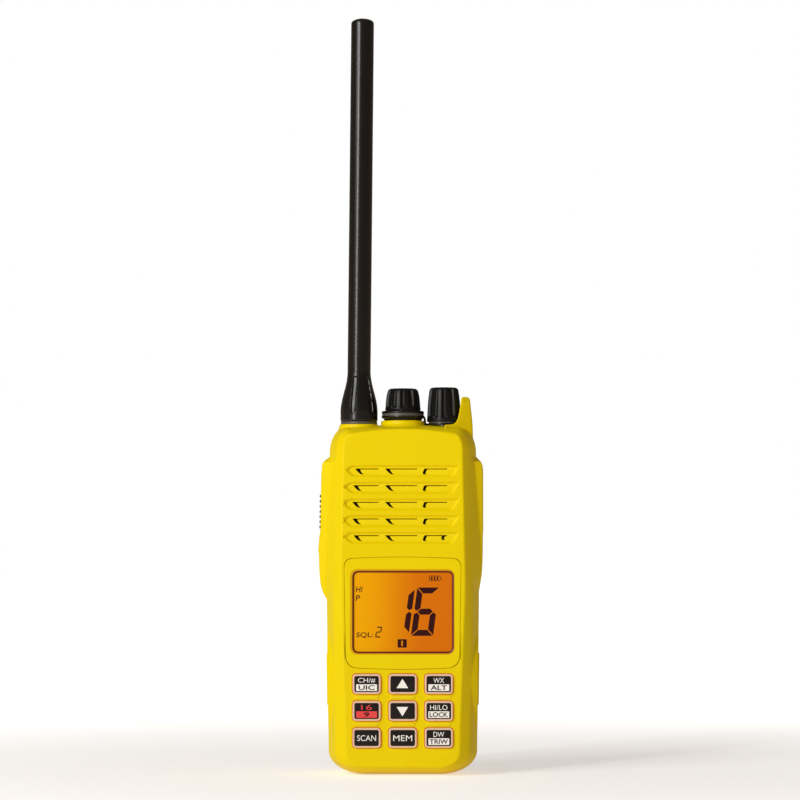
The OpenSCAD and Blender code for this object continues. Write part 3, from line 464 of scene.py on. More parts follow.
class Surface:
    """Gathers grids, walls and flat fills in millimetres, and makes one mesh of them."""

    def __init__(self) -> None:
        """Starts empty."""
        self.solid: list[tuple[np.ndarray, np.ndarray, int]] = []
        self.flat: list[tuple[np.ndarray, list[list[int]], int]] = []
        self.finishes: list[Finish] = []

    def _index(self, finish: Finish) -> int:
        """Gives the slot of a finish, and adds it if it is new."""
        if finish not in self.finishes:
            self.finishes.append(finish)
        return self.finishes.index(finish)

    def grid(self, points: np.ndarray, finish: Finish, closed: bool = False,
             skip: np.ndarray | None = None) -> None:
        """Adds a grid of quads.

        Args:
            points: array of rows by columns by 3.
            finish: its finish.
            closed: joins the last column to the first.
            skip: truth values by row and column; a cell whose four corners are all true is left out.
        """
        rows, columns = points.shape[:2]
        index = np.arange(rows * columns).reshape(rows, columns)
        if closed:
            index = np.hstack([index, index[:, :1]])
        quads = np.stack([index[:-1, :-1], index[:-1, 1:], index[1:, 1:], index[1:, :-1]], -1).reshape(-1, 4)
        if skip is not None:
            quads = quads[~skip.reshape(-1)[quads].all(1)]
        self.solid.append((points.reshape(-1, 3), quads, self._index(finish)))

    def fill(self, loops: list[np.ndarray], place: Place, height: float, finish: Finish) -> None:
        """Fills the area inside the first loop and outside the others with triangles.

        Args:
            loops: flat loops; the first is the outer one.
            place: puts the flat points in space.
            height: height handed to place.
            finish: its finish.
        """
        edges = []
        first = 0
        for loop in loops:
            index = np.arange(first, first + len(loop))
            edges += np.column_stack([index, np.roll(index, -1)]).tolist()
            first += len(loop)
        points = [Vector(point) for point in np.concatenate(loops).tolist()]
        made = delaunay_2d_cdt(points, edges, [], 1, 1e-6)
        corners = np.array([tuple(point) for point in made[0]], float)
        faces = np.array(made[2])
        centres = corners[faces].mean(1)
        kept = within(centres, loops[0])
        for loop in loops[1:]:
            kept &= ~within(centres, loop)
        self.solid.append((place(corners, height), faces[kept], self._index(finish)))

    def cap(self, loop: np.ndarray, finish: Finish) -> None:
        """Closes a loop of points in space with one polygon."""
        self.solid.append((loop, np.arange(len(loop))[None, :], self._index(finish)))

    def plate(
        self,
        loop: np.ndarray,
        rows: Rows,
        place: Place,
        finish: Finish,
        holes: list[np.ndarray] | None = None,
        floor: Finish | None = None,
        open_start: bool = False,
    ) -> None:
        """Adds a plate or a well: an outline carried along a profile of inset and height, closed at its ends.

        Args:
            loop: flat outline.
            rows: the profile, from the first edge to the one that the flat end fills.
            place: puts the flat points in space.
            finish: finish of the walls.
            holes: loops left open in the flat end.
            floor: finish of the flat end, if it isn't the walls'.
            open_start: leaves the first edge open, as a well's mouth is.
        """
        rings = np.stack([place(inset(loop, distance), height) for distance, height in rows])
        self.grid(rings, finish, closed=True)
        self.fill([inset(loop, rows[-1][0]), *(holes or [])], place, rows[-1][1], floor or finish)
        if not open_start:
            self.cap(rings[0][::-1], finish)

    def turned(self, profile: np.ndarray, centre: Pair | np.ndarray, finish: Finish, steps: int = 96,
               carve: Callable[[np.ndarray, np.ndarray, np.ndarray], np.ndarray] | None = None,
               level: bool = False) -> None:
        """Adds a surface of revolution: a profile of radius and height carried round an axis.

        Args:
            profile: radius and height along it; it starts and ends on the axis or closes on itself.
            centre: the axis's place: x and y for an upright axis, y and z for one along X.
            finish: its finish.
            steps: steps round the axis.
            carve: gives what is taken off the radius, from the grids of angle, height and radius.
            level: lays the axis along X, with heights along X.
        """
        angle = np.linspace(0, 2 * np.pi, steps, endpoint=False)[None, :]
        radius = profile[:, :1] + 0 * angle
        height = profile[:, 1:] + 0 * angle
        if carve:
            radius = np.maximum(radius - carve(angle + 0 * radius, height, radius), 0)
        first, second = centre[0] + radius * np.sin(angle), centre[1] - radius * np.cos(angle)
        grid = np.stack([height, first, second] if level else [first, second, height], -1)
        self.grid(grid, finish, closed=True)

    def ring(self, centre: Pair | np.ndarray, inner: float, corners: list[Pair], reach: list[float],
             finish: Finish, level: bool = False) -> None:
        """Adds a turned ring: its outer corners are rounded and its inner wall is straight.

        Args:
            centre: the axis's place.
            inner: radius of the inner wall.
            corners: radius and height of the outer corners.
            reach: rounding of each of them.
            finish: its finish.
            level: lays the axis along X.
        """
        chain = np.array([(inner, corners[0][1]), *corners, (inner, corners[-1][1])], float)
        outer = soften(chain, reach, 4)
        self.turned(np.vstack([outer, outer[:1]]), centre, finish, 72, level=level)

    def letters(self, words: str, box: tuple[float, float, float, float], place: Place, height: float,
                finish: Finish, weight: float = 0.01, slant: float = 0.0) -> None:
        """Adds flat lettering that fills a box.

        Args:
            words: what it says.
            box: low x, low z, width and height of the box.
            place: puts the flat points in space.
            height: height handed to place.
            finish: its finish.
            weight: how much bolder than the plain font.
            slant: how far the top leans to the right, as a share of the height.
        """
        curve = bpy.data.curves.new("lettering", "FONT")
        curve.body = words
        curve.offset = weight
        curve.resolution_u = 4
        holder = bpy.data.objects.new("lettering", curve)
        mesh = bpy.data.meshes.new_from_object(holder)
        points = np.empty(3 * len(mesh.vertices))
        mesh.vertices.foreach_get("co", points)
        points = points.reshape(-1, 3)[:, :2]
        low, high = points.min(0), points.max(0)
        points = (points - low) / (high - low) * [box[2], box[3]]
        points = points + [box[0], box[1]] + np.column_stack([slant * points[:, 1], 0 * points[:, 1]])
        faces = [list(face.vertices) for face in mesh.polygons]
        self.flat.append((place(points, height), faces, self._index(finish)))
        bpy.data.objects.remove(holder)
        bpy.data.curves.remove(curve)
        bpy.data.meshes.remove(mesh)

    def shape(self, loop: np.ndarray, place: Place, height: float, finish: Finish) -> None:
        """Adds one flat shape that faces the way that the place faces."""
        self.flat.append((place(loop, height), [list(range(len(loop)))], self._index(finish)))

    def piece(self, name: str, body: str, replaces: tuple[str, ...] = (),
              sharp: float = 32.0) -> bpy.types.Object:
        """Makes the object, puts it on its body and hides the CAD nodes that it stands for.

        Args:
            name: the piece's name.
            body: the CAD body that it rides on.
            replaces: CAD nodes that it stands for.
            sharp: edges that turn by more than this many degrees stay sharp.

        Returns:
            The object.
        """
        mesh = bpy.data.meshes.new(name)
        work = bmesh.new()
        if self.solid:
            self._add(work, [(points, faces.tolist(), index) for points, faces, index in self.solid])
            bmesh.ops.remove_doubles(work, verts=work.verts, dist=2e-6)
            bmesh.ops.dissolve_degenerate(work, edges=work.edges, dist=1e-7)
            bmesh.ops.recalc_face_normals(work, faces=work.faces)
        if self.flat:
            self._add(work, self.flat)
        work.to_mesh(mesh)
        work.free()
        mesh.shade_smooth()
        mesh.set_sharp_from_angle(angle=math.radians(sharp))
        for finish in self.finishes:
            mesh.materials.append(finish.build())
        made = bpy.data.objects.new(name, mesh)
        bpy.context.scene.collection.objects.link(made)
        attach(made, body)
        if replaces:
            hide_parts(*replaces)
        LOG.info("%s: %d faces on %s", name, len(mesh.polygons), body)
        return made

    @staticmethod
    def _add(work: bmesh.types.BMesh, blocks: list[tuple[np.ndarray, list[list[int]], int]]) -> None:
        """Adds blocks of points and faces to a working mesh, with each block's material.

        Args:
            work: the mesh that takes them.
            blocks: points in millimetres, faces and material slot of each block.
        """
        for points, faces, index in blocks:
            block = bpy.data.meshes.new("block")
            block.from_pydata((points * MM).tolist(), [], faces)
            block.polygons.foreach_set("material_index", [index] * len(block.polygons))
            work.from_mesh(block)
            bpy.data.meshes.remove(block)


def corners(node: str) -> tuple[np.ndarray, np.ndarray]:
    """Gives a CAD node's lowest and highest corners in millimetres."""
    low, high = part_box(node)
    return np.array(low) / MM, np.array(high) / MM


def middle(node: str) -> np.ndarray:
    """Gives the centre of a CAD node's box in millimetres."""
    low, high = corners(node)
    return (low + high) / 2


# --- Casing ---


@dataclass
class Outline:
    """Front outline of the body: elliptic bottom corners, a waist and elliptic shoulders."""

    base: float = 28.4
    waist: float = 29.2
    waist_z: float = 67.0
    top: float = 28.1
    height: float = 133.4
    corner: Pair = (14.0, 9.0)
    shoulder: Pair = (7.5, 10.5)

    def side(self, z: np.ndarray) -> np.ndarray:
        """Gives the half width at heights between the corners and the shoulders."""
        return np.interp(z, [self.corner[1], self.waist_z, self.height - self.shoulder[1]],
                         [self.base, self.waist, self.top])

    def half(self, levels: np.ndarray) -> tuple[np.ndarray, np.ndarray]:
        """Gives the right half, from the middle of the base to the middle of the top.

        Args:
            levels: heights of the side's points.

        Returns:
            The points, and the direction that each point's surface faces.
        """
        flat_n, arc_n = 10, 20
        base_x, top_x = self.base - self.corner[0], self.top - self.shoulder[0]
        low = arc((base_x, self.corner[1]), self.corner, -90, 0, arc_n)
        high = arc((top_x, self.height - self.shoulder[1]), self.shoulder, 0, 90, arc_n)
        bottom = np.column_stack([np.linspace(0, base_x, flat_n, endpoint=False), np.zeros(flat_n)])
        top = np.column_stack([np.linspace(top_x, 0, flat_n + 1)[1:], np.full(flat_n, self.height)])
        points = np.concatenate([bottom, low, np.column_stack([self.side(levels), levels]), high, top])
        angle = np.radians(np.concatenate([
            np.full(flat_n, -90.0), np.linspace(-90, 0, arc_n + 1), np.zeros(len(levels)),
            np.linspace(0, 90, arc_n + 1), np.full(flat_n, 90.0)]))
        return points, np.column_stack([np.cos(angle), np.sin(angle)])

    def loop(self, right: np.ndarray, left: np.ndarray) -> tuple[np.ndarray, np.ndarray]:
        """Gives the whole outline, anticlockwise.

        Args:
            right: heights of the right side's points.
            left: heights of the left side's points.

        Returns:
            The points and the direction that each faces.
        """
        points, facing = self.half(right)
        other, other_facing = self.half(left)
        mirror = np.array([-1, 1])
        return (np.concatenate([points, (other * mirror)[-2:0:-1]]),
                np.concatenate([facing, (other_facing * mirror)[-2:0:-1]]))


@dataclass
class Wings:
    """The two wings beside the grille: how far each stands out at each height."""

    levels: tuple[float, ...] = (66.6, 69.2, 72.0, 75.5, 80.0, 85.0, 90.0, 94.0, 108.0, 117.6, 119.3, 121.3)
    right: tuple[float, ...] = (29.1, 29.15, 29.6, 30.2, 30.5, 30.65, 30.7, 30.7, 30.7, 30.65, 30.0, 28.2)
    left: tuple[float, ...] = (29.3, 30.7, 31.6, 32.0, 32.2, 32.3, 31.95, 31.45, 31.3, 31.1, 30.6, 28.2)

    def half_width(self, z: np.ndarray, sign: int, outline: Outline) -> np.ndarray:
        """Gives the body's half width at heights, wings included.

        Args:
            z: heights.
            sign: 1 for the right side, -1 for the left.
            outline: the body's outline.

        Returns:
            The half widths.
        """
        wing = np.interp(z, self.levels, self.right if sign > 0 else self.left, 0, 0)
        return np.maximum(outline.side(z), wing)


@dataclass
class Pocket:
    """A rectangular recess in a side wall."""

    y: Pair
    z: Pair
    floor: float


@dataclass
class FrontShell:
    """Front half of the casing: face, bevels, wings, grille, seats and the guard fin.

    bevel holds the inset and the depth of its back edge, facet the middle and the half height of the shallow
    facet low on each side, and ridge the half sizes of a bar between the keys.
    """

    outline: Outline = field(default_factory=Outline)
    wings: Wings = field(default_factory=Wings)
    seam: float = 0.3
    face_inset: float = 5.3
    face_narrowing: float = 1.5
    bevel: Pair = (2.6, 3.5)
    facet: Pair = (35.6, 20.4)
    facet_in: float = 2.6
    facet_deep: float = 6.6
    edge_step: float = 0.01
    groove_pitch: float = 6.35
    groove_half: float = 2.35
    slot_low: float = 1.2
    slot_high: float = 1.15
    ridge: Pair = (4.5, 0.55)
    grille_z: float = 102.85
    talk: Pocket = field(default_factory=lambda: Pocket((-6.5, 2.5), (84.2, 116.2), 28.0))
    cover: Pocket = field(default_factory=lambda: Pocket((-6.6, 3.2), (92.2, 117.2), 29.1))
    fin_top: float = 144.4

    def levels(self, pocket: Pocket) -> np.ndarray:
        """Gives the heights of a side's points: evenly spaced, with doubled lines at a pocket's ends."""
        low = self.outline.corner[1]
        high = self.outline.height - self.outline.shoulder[1]
        doubled = [end + step for end in pocket.z for step in (-self.edge_step, self.edge_step)]
        even = np.linspace(low, high, 92)[1:-1]
        even = even[np.abs(even[:, None] - np.array(doubled)[None, :]).min(1) > 0.1]
        return np.unique(np.concatenate([even, doubled, self.wings.levels[:2], self.wings.levels[-3:]]))

    def knots(self, points: np.ndarray, facing: np.ndarray) -> np.ndarray:
        """Gives the profile's corners at each point of the outline.

        The face ends at a steep bevel, the bevel at the side wall. Beside the grille the bevel runs on to the
        wing's front. Low on each side a shallow curved facet cuts it.

        Args:
            points: the outline.
            facing: the direction that each point faces.

        Returns:
            An array of 6 knots by outline points by 3: inset across, inset up and depth.
        """
        z = points[:, 1]
        sign = np.sign(points[:, 0])
        on_side = (np.abs(facing[:, 0]) > 0.999) & (z > self.outline.corner[1]) & (z < 122.9)
        face = self.face_inset + self.face_narrowing * np.clip((75 - z) / 60, 0, 1)
        crown = np.where(facing[:, 1] > 0.5, 1.7 + 2.4 * np.clip(np.abs(points[:, 0]) / 22, 0, 1) ** 2, 3.2)
        flat = FACE_Y + 0 * z
        nothing = 0 * z
        base = np.array([
            [face + 1, crown + 1, flat], [face, crown, flat],
            [self.bevel[0] + nothing, 0.4 * crown, flat + self.bevel[1]],
            [nothing, nothing, flat + 10.1], [nothing, nothing, flat + 11.0],
            [nothing, nothing, SPLIT_Y - self.seam + nothing],
        ]).transpose(0, 2, 1)
        out = np.where(sign > 0, self.wings.half_width(z, 1, self.outline),
                       self.wings.half_width(z, -1, self.outline))
        out = np.where(on_side, out - self.outline.side(z), 0)
        start = np.maximum(np.interp(z, [70, 88, 118], [-0.9, -0.8, 0.7]), 0.6 - out)
        start_y = np.interp(z, [70, 88, 118], [-9.4, -9.8, -12.4])
        wing = base.copy()
        wing[3, :, 0], wing[3, :, 2] = start, start_y
        wing[4, :, 0], wing[4, :, 2] = -out, start_y + 0.35 * (start + out) + 0.2
        wing[5, :, 0] = -out
        weight = on_side * np.clip((z - self.wings.levels[0]) / 8, 0, 1) * np.clip(
            (self.wings.levels[-1] - z) / (self.wings.levels[-1] - self.wings.levels[-2]), 0, 1)
        knots = base + weight[None, :, None] * (wing - base)
        knots[4:, :, 0] = np.where(on_side, -out, knots[4:, :, 0])
        bow = (z - self.facet[0]) / self.facet[1]
        cut = on_side & (np.abs(bow) < 1)
        depth = self.facet_in * (1 - bow**2)
        depth_y = FACE_Y + self.bevel[1] + (self.facet_in - depth) * self.facet_deep / self.facet_in
        knots[3, :, 0] = np.where(cut, depth, knots[3, :, 0])
        knots[3, :, 2] = np.where(cut, depth_y, knots[3, :, 2])
        knots[4, :, 2] = np.where(cut, depth_y + 0.5 * depth + 0.5, knots[4, :, 2])
        return knots

    def shell(self) -> tuple[np.ndarray, np.ndarray]:
        """Works out the shell's surface.

        Returns:
            The grid of points from the face's edge to the split, and which lie on the cover pocket's floor.
        """
        points, facing = self.outline.loop(self.levels(self.cover), self.levels(self.talk))
        profile = soften(self.knots(points, facing), [1.0, 1.4, 0.5, 0.5])[:-1]
        last = self.knots(points, facing)[-1]
        right = points[:, 0] > 0
        near = np.where(right, self.cover.y[0], self.talk.y[0])
        far = np.where(right, self.cover.y[1], self.talk.y[1])
        step = self.edge_step
        depths = [near - step, near + step, (near + far) / 2, far - step, far + step,
                  SPLIT_Y - self.seam + 0 * near]
        walls = np.stack([np.column_stack([last[:, :2], y]) for y in depths])
        lip = np.column_stack([last[:, :2] + self.seam, SPLIT_Y + 0 * near])[None]
        profile = np.concatenate([profile, walls, lip])
        grid = np.stack([points[:, 0] - facing[:, 0] * profile[:, :, 0], profile[:, :, 2],
                         points[:, 1] - facing[:, 1] * profile[:, :, 1]], -1)
        rows = slice(len(profile) - len(depths), len(profile) - len(depths) + 3)
        floor = np.zeros(grid.shape[:2], bool)
        for pocket, sign in ((self.cover, 1), (self.talk, -1)):
            inside = (points[:, 0] * sign > 0) & (points[:, 1] > pocket.z[0]) & (points[:, 1] < pocket.z[1])
            inside &= np.abs(facing[:, 0]) > 0.999
            grid[rows, inside, 0] = sign * pocket.floor
            if sign > 0:
                floor[rows, inside] = True
        return grid, floor

    def jack_well(self, made: Surface, grid: np.ndarray, floor: np.ndarray) -> None:
        """Closes the cover's pocket with a floor that has the jack's well in it.

        Args:
            made: the surface that takes it.
            grid: the shell's grid.
            floor: which of its points lie on the pocket's floor.
        """
        patch = grid[floor].reshape(3, -1, 3)[:, :, 1:]
        rim = np.concatenate([patch[0], patch[1:2, -1], patch[2, ::-1], patch[1:2, 0]])
        jack = middle("accessory_jack")
        well = circle(jack[1], jack[2], 3.0)
        made.fill([rim, well], across(self.cover.floor), 0.0, YELLOW)
        face = corners("accessory_jack")[1][0] - self.cover.floor
        bore = circle(jack[1], jack[2], 1.75)
        made.plate(well, [(0.0, 0.0), (0.0, face)], across(self.cover.floor), BLACK, [bore], open_start=True)
        made.plate(bore, [(0.0, face), (0.0, face - 9.0)], across(self.cover.floor), BRASS, open_start=True)

    def groove(self, row: int) -> np.ndarray:
        """Gives the outline of one grille groove: pointed on the left, slanted on the right."""
        z, half = self.grille_z + (2 - row) * self.groove_pitch, self.groove_half
        tip = -23.3 + 0.4 * abs(row - 2.6) ** 1.2
        return rounded([(tip, z + 0.5), (tip + 2.9, z - half), (19.2, z - half), (21.9, z + half),
                        (tip + 2.3, z + half)], [1.0, 1.6, 1.6, 1.2, 1.6])

    def slots(self, row: int) -> list[np.ndarray]:
        """Gives the outlines of the three slots in a groove."""
        z = self.grille_z + (2 - row) * self.groove_pitch - 0.1
        spans = [(-19.4 + 0.2 * (row - 2.4) ** 2, -9.1, 2.0), (-6.9, 5.6, 2.2), (8.2, 17.0, -0.9)]
        low, high = z - self.slot_low, z + self.slot_high
        return [rounded([(left + lean, low), (right, low), (right, high), (left, high)],
                        [1.2, 0.3, 0.3, 0.4])
                for left, right, lean in spans]

    def grille(self, made: Surface) -> list[np.ndarray]:
        """Adds the grooves, their slots and the blades inside the slots.

        Args:
            made: the surface that takes them.

        Returns:
            The holes that the face needs.
        """
        holes = []
        profile = soften([(-0.3, 0.0), (0.05, 0.0), (0.8, -0.85), (1.05, -0.85)], [0.3, 0.35], 5)
        for row in range(5):
            groove, slots = self.groove(row), self.slots(row)
            made.plate(groove, profile, ON_FACE, YELLOW, holes=slots, open_start=True)
            holes.append(inset(groove, -0.3))
            for slot in slots:
                made.plate(slot, [(0.0, -0.85), (0.06, -0.95), (0.06, -1.9)], ON_FACE, YELLOW, floor=CLOTH,
                           open_start=True)
                self.blade(made, slot)
        return holes

    def microphone(self, made: Surface) -> None:
        """Adds the small dark opening in front of the microphone, on the last blade."""
        place = middle("microphone")
        z = self.grille_z - 2 * self.groove_pitch
        notch = rounded([(place[0] + 0.2, z - 0.75), (place[0] + 1.3, z - 0.75), (place[0] + 1.0, z + 0.15),
                         (place[0] + 2.0, z + 1.0), (place[0] + 0.2, z + 1.0)], 0.2, 3)
        made.plate(notch, [(0.0, -1.3), (0.0, -0.84)], ON_FACE, CLOTH)

    def blade(self, made: Surface, slot: np.ndarray) -> None:
        """Adds a slot's louvre blade, which leaves a gap along the slot's top and left end.

        Args:
            made: the surface that takes it.
            slot: the slot's outline.
        """
        low, high = slot.min(0), slot.max(0)
        left = slot[:, 0] < low[0] + 0.45 * (high[0] - low[0])
        shape = slot.copy()
        share = (shape[:, 1] - low[1]) / (high[1] - low[1])
        shape[:, 0] += np.where(left, 1.1 + 0.8 * share if low[0] < 5 else 1.1, 0.0)
        shape[:, 1] -= 0.36 * share
        tilt = 0.2

        def place(flat: np.ndarray, height: float) -> np.ndarray:
            """Leans the blade: its top edge lies deeper than its bottom edge."""
            lean = tilt * (flat[:, 1] - low[1]) / (high[1] - low[1])
            return np.column_stack([flat[:, 0], FACE_Y + 0.92 + lean - height, flat[:, 1]])

        made.plate(shape, [(0.0, -0.7), (0.0, -0.1), (0.08, 0.0)], place, YELLOW)

    def ridges(self, made: Surface) -> None:
        """Adds the low bars between the key rows."""
        rows = sorted({round(middle(name)[2], 3) for name in KEY_LEGENDS}, reverse=True)
        columns = sorted({round(middle(name)[0], 3) for name in KEY_LEGENDS})
        for upper, lower in zip(rows, rows[1:], strict=False):
            z = (upper + lower) / 2
            for x in columns:
                bar = box(x - self.ridge[0], z - self.ridge[1], x + self.ridge[0], z + self.ridge[1], 0.3, 3)
                made.plate(bar, [(0.0, -0.4), (0.0, 0.2), (0.12, 0.34)], ON_FACE, YELLOW)

    def fin(self, made: Surface) -> None:
        """Adds the guard fin beside the right knob: its front slants back, its back is at the split."""
        edge, deck, top = self.outline.top, self.outline.height, self.fin_top
        foot = edge - 7.4
        right = [(edge - 0.6, deck - 13), (edge - 1.1, deck - 6), (edge - 1.3, deck + 1),
                 (edge - 2.4, top - 0.2)]
        web = rounded([(edge - 6, deck - 14), *right, (edge - 5.7, top), (edge - 6.1, deck + 6.6),
                       (foot, deck + 0.3), (edge - 12, deck + 0.05), (edge - 12.5, deck - 3)],
                      [0.5, 0.5, 2.0, 3.0, 1.4, 1.4, 3.0, 3.6, 0.5, 0.5], 7)
        body = rounded([(edge - 5.3, deck - 14), *right, (edge - 5.2, top - 0.1)],
                       [0.5, 0.5, 2.0, 3.0, 1.4, 1.2], 7)
        slant, tall = 0.6, 12.4

        def place(flat: np.ndarray, height: float) -> np.ndarray:
            """Slants the fin: the further right and forward, the more it gives way to the back."""
            back = slant * (flat[:, 0] - foot) * min(max(height / tall, 0), 1)
            return np.column_stack([flat[:, 0], back - height, flat[:, 1]])

        front_edge = soften([[0.0, tall - 1.3], [0.0, tall], [1.6, tall]], [0.8], 6)
        made.plate(web, [(0.2, tall - 1.5), *front_edge], place, YELLOW)
        back_edge = soften([[0.4, -4.0], [0.0, -3.4], [0.0, tall - 0.7]], [0.3], 4)
        made.plate(body, back_edge, place, YELLOW)

    def bosses(self, made: Surface) -> None:
        """Adds the raised rings under the volume knob and the antenna."""
        deck = self.outline.height
        knob, whip = middle("volume_knob"), middle("antenna_whip")
        rise = 1.75
        boss = soften([[0, deck - 2], [9.6, deck - 2], [9.2, deck - 0.3], [8.45, deck + 0.2],
                       [8.35, deck + rise], [0, deck + rise]], [0.1, 0.5, 0.5, 0.35])
        made.turned(boss, knob[:2], YELLOW)
        foot = soften([[0, deck - 3], [8.6, deck - 3], [7.6, deck - 0.4], [7.45, deck + 0.38],
                       [0, deck + 0.38]], [0.1, 0.8, 0.2])
        made.turned(foot, whip[:2], YELLOW)

    def edge(self) -> np.ndarray:
        """Gives the outline at the split, wings included."""
        return self.shell()[0][-2][:, [0, 2]]

    def build(self) -> bpy.types.Object:
        """Builds the front shell as one piece."""
        made = Surface()
        grid, floor = self.shell()
        made.grid(grid, YELLOW, True, floor)
        self.jack_well(made, grid, floor)
        made.cap(grid[-1], YELLOW)
        holes = self.grille(made)
        self.microphone(made)
        recess = Display().recess()
        rows = [(-0.2, 0.0), (0.0, 0.0), (0.1, -0.08), (0.14, -0.3), (0.14, -1.15)]
        made.plate(recess, rows, ON_FACE, YELLOW, floor=CLOTH, open_start=True)
        holes.append(inset(recess, -0.2))
        rows = [(-0.35, 0.0), (-0.15, 0.0), (-0.04, -0.05), (0.0, -0.18), (0.0, -1.6)]
        for name in KEY_LEGENDS:
            well = Keypad.outline_of(name, 0.26)
            # The well's floor glows orange: painted shade and glow around the key.
            made.plate(well, rows, ON_FACE, YELLOW, floor=KEY_WELL_PAINTED_GLOW, open_start=True)
            holes.append(inset(well, -0.35))
        made.fill([grid[0][:, [0, 2]], *holes], ON_FACE, 0.0, YELLOW)
        self.ridges(made)
        self.fin(made)
        self.bosses(made)
        return made.piece("front_case", "radio", ("front_housing",))


@dataclass
class Display:
    """Lens panel with its printed border, and the lit display behind its window."""

    crown: float = 0.75
    taper: float = 0.7
    gap: float = 0.22
    window: Pair = (37.7, 30.4)
    drop: float = 0.9
    screen_deep: float = 0.75

    def outline(self, grow: float) -> np.ndarray:
        """Gives the lens's outline: bowed ends and sides that close in towards the bottom.

        Args:
            grow: how far outside the lens the outline lies.

        Returns:
            The outline.
        """
        low, high = corners("display_lens")
        half, low_z, high_z = high[0] + grow, low[2] - self.drop - grow, high[2] + grow
        return rounded([
            (-half + self.taper, low_z + self.crown), (0, low_z - 0.05),
            (half - self.taper, low_z + self.crown),
            (half, high_z - self.crown), (0, high_z + 0.05), (-half, high_z - self.crown)],
            [5.0, 14.0, 5.0, 3.6, 14.0, 3.6], 8)

    def recess(self) -> np.ndarray:
        """Gives the outline of the lens's seat in the face."""
        return self.outline(self.gap)

    def window_loop(self, grow: float) -> np.ndarray:
        """Gives the window's outline, grown by a margin."""
        centre = middle("display_lens")
        half_w, half_h = self.window[0] / 2 + grow, self.window[1] / 2 + grow
        x, z = centre[0] + 0.15, centre[2] - 0.05
        return box(x - half_w, z - half_h, x + half_w, z + half_h, 2.0 + grow, 6)

    def lens(self) -> bpy.types.Object:
        """Builds the lens panel: a thin plate with soft edges and a window whose edge carries a dark line."""
        made = Surface()
        place, thick = ON_FACE, 1.1
        rim = inset(self.window_loop(0.0), -0.7)
        window = inset(rim, 0.7)
        body = self.outline(-0.02)
        rows = [(0.3, -thick), (0.0, -0.8), (0.0, -0.16), (0.12, -0.03), (0.3, 0.0), (0.6, 0.0)]
        made.grid(np.stack([place(inset(body, d), h) for d, h in rows]), YELLOW_GLOSS, True)
        shade = self.window_loop(1.05) + [-0.3, 0.1]
        made.fill([inset(body, 0.6), shade], place, 0.0, YELLOW_GLOSS)
        made.fill([inset(body, 0.3), window], place, -thick, YELLOW_GLOSS)
        made.grid(np.stack([place(shade, 0.0), place(rim, 0.0), place(inset(rim, 0.2), 0.0)]), LENS_SHADE,
                  True)
        made.grid(np.stack([place(inset(rim, 0.2), 0.0), place(inset(rim, 0.3), -0.03), place(window, -0.25),
                            place(window, -thick)]), BORDER, True)
        return made.piece("lens_panel", "radio", ("display_lens",))

    @staticmethod
    def segments(pattern: str, width: float, height: float, thick: float) -> list[np.ndarray]:
        """Gives the lit bars of one seven-bar digit, centred on the origin.

        Args:
            pattern: letters of the lit bars, a to g.
            width, height: size of the digit between its outer bars' centre lines.
            thick: thickness of a bar.

        Returns:
            One outline for each lit bar.
        """
        w, h, t, g = width / 2, height / 2, thick / 2, 0.11 * thick
        out_x, out_z, in_x, in_z = w + t, h + t, w - t, h - t
        top = np.array([(g - out_x, out_z), (g - in_x, in_z), (in_x - g, in_z), (out_x - g, out_z)])
        upper = np.array([(in_x, in_z - g), (in_x, t + g), (w, g), (out_x, 0.7 * t + g), (out_x, out_z - g)])
        bar = np.array([(g - w, 0), (g - in_x, -t), (in_x - g, -t), (w - g, 0), (in_x - g, t),
                        (g - in_x, t)])
        flip, lower = np.array([-1, 1]), np.array([1, -1])
        shapes = {
            "a": top, "b": upper, "c": (upper * lower)[::-1], "d": (top * lower)[::-1],
            "e": upper * flip * lower,
            "f": (upper * flip)[::-1], "g": bar,
        }
        return [shapes[name] for name in pattern]

    def marks(self, made: Surface) -> None:
        """Adds what the display shows: a channel number, small words and two signs."""
        centre = middle("display_lens") + [0.15, 0, -0.05]
        place, height, slant = ON_FACE, -self.screen_deep + 0.02, 0.135
        x, z = centre[0], centre[2]
        digits = {"bc": (-0.5, 0.4, 5.6, 14.6, 2.1), "acdefg": (8.4, 0.15, 6.2, 16.1, 2.25),
                  "abged": (-9.3, -7.6, 1.7, 3.7, 0.45)}
        for pattern, (right, up, *size) in digits.items():
            for bar in self.segments(pattern, *size):
                leaning = bar + np.column_stack([slant * bar[:, 1], 0 * bar[:, 1]])
                made.shape(leaning + [x + right, z + up], place, height, SEGMENT)
        words = {"H": (-18.0, 7.5, 1.6), "P": (-18.1, 4.2, 1.5), "SQL:": (-18.0, -9.9, 6.4)}
        for word, (left, low, width) in words.items():
            made.letters(word, (x + left, z + low, width, 2.2), place, height, SEGMENT, 0.012, slant)
        made.shape(np.array([(x - 16.0, z + 7.5), (x - 15.7, z + 7.5), (x - 15.4, z + 9.7),
                             (x - 15.7, z + 9.7)]), place,
                   height, SEGMENT)
        battery = rounded([(x + 9.9, z + 11.8), (x + 13.9, z + 11.8), (x + 14.7, z + 12.8),
                           (x + 13.9, z + 13.8),
                           (x + 9.9, z + 13.8)], 0.25, 2)
        ring = np.stack([place(battery, height), place(inset(battery, 0.22), height)])
        made.grid(ring, SEGMENT, closed=True)
        for step in range(3):
            left = x + 10.6 + 1.1 * step
            made.shape(np.array(corner_points(left, z + 12.2, left + 0.6, z + 13.4)), place, height, SEGMENT)
        made.shape(box(x - 2.1, z - 13.5, x + 1.4, z - 10.3, 0.25, 2), place, height, SEGMENT)
        made.letters("i", (x - 0.75, z - 12.95, 0.7, 2.1), place, height + 0.02, SCREEN, 0.05)

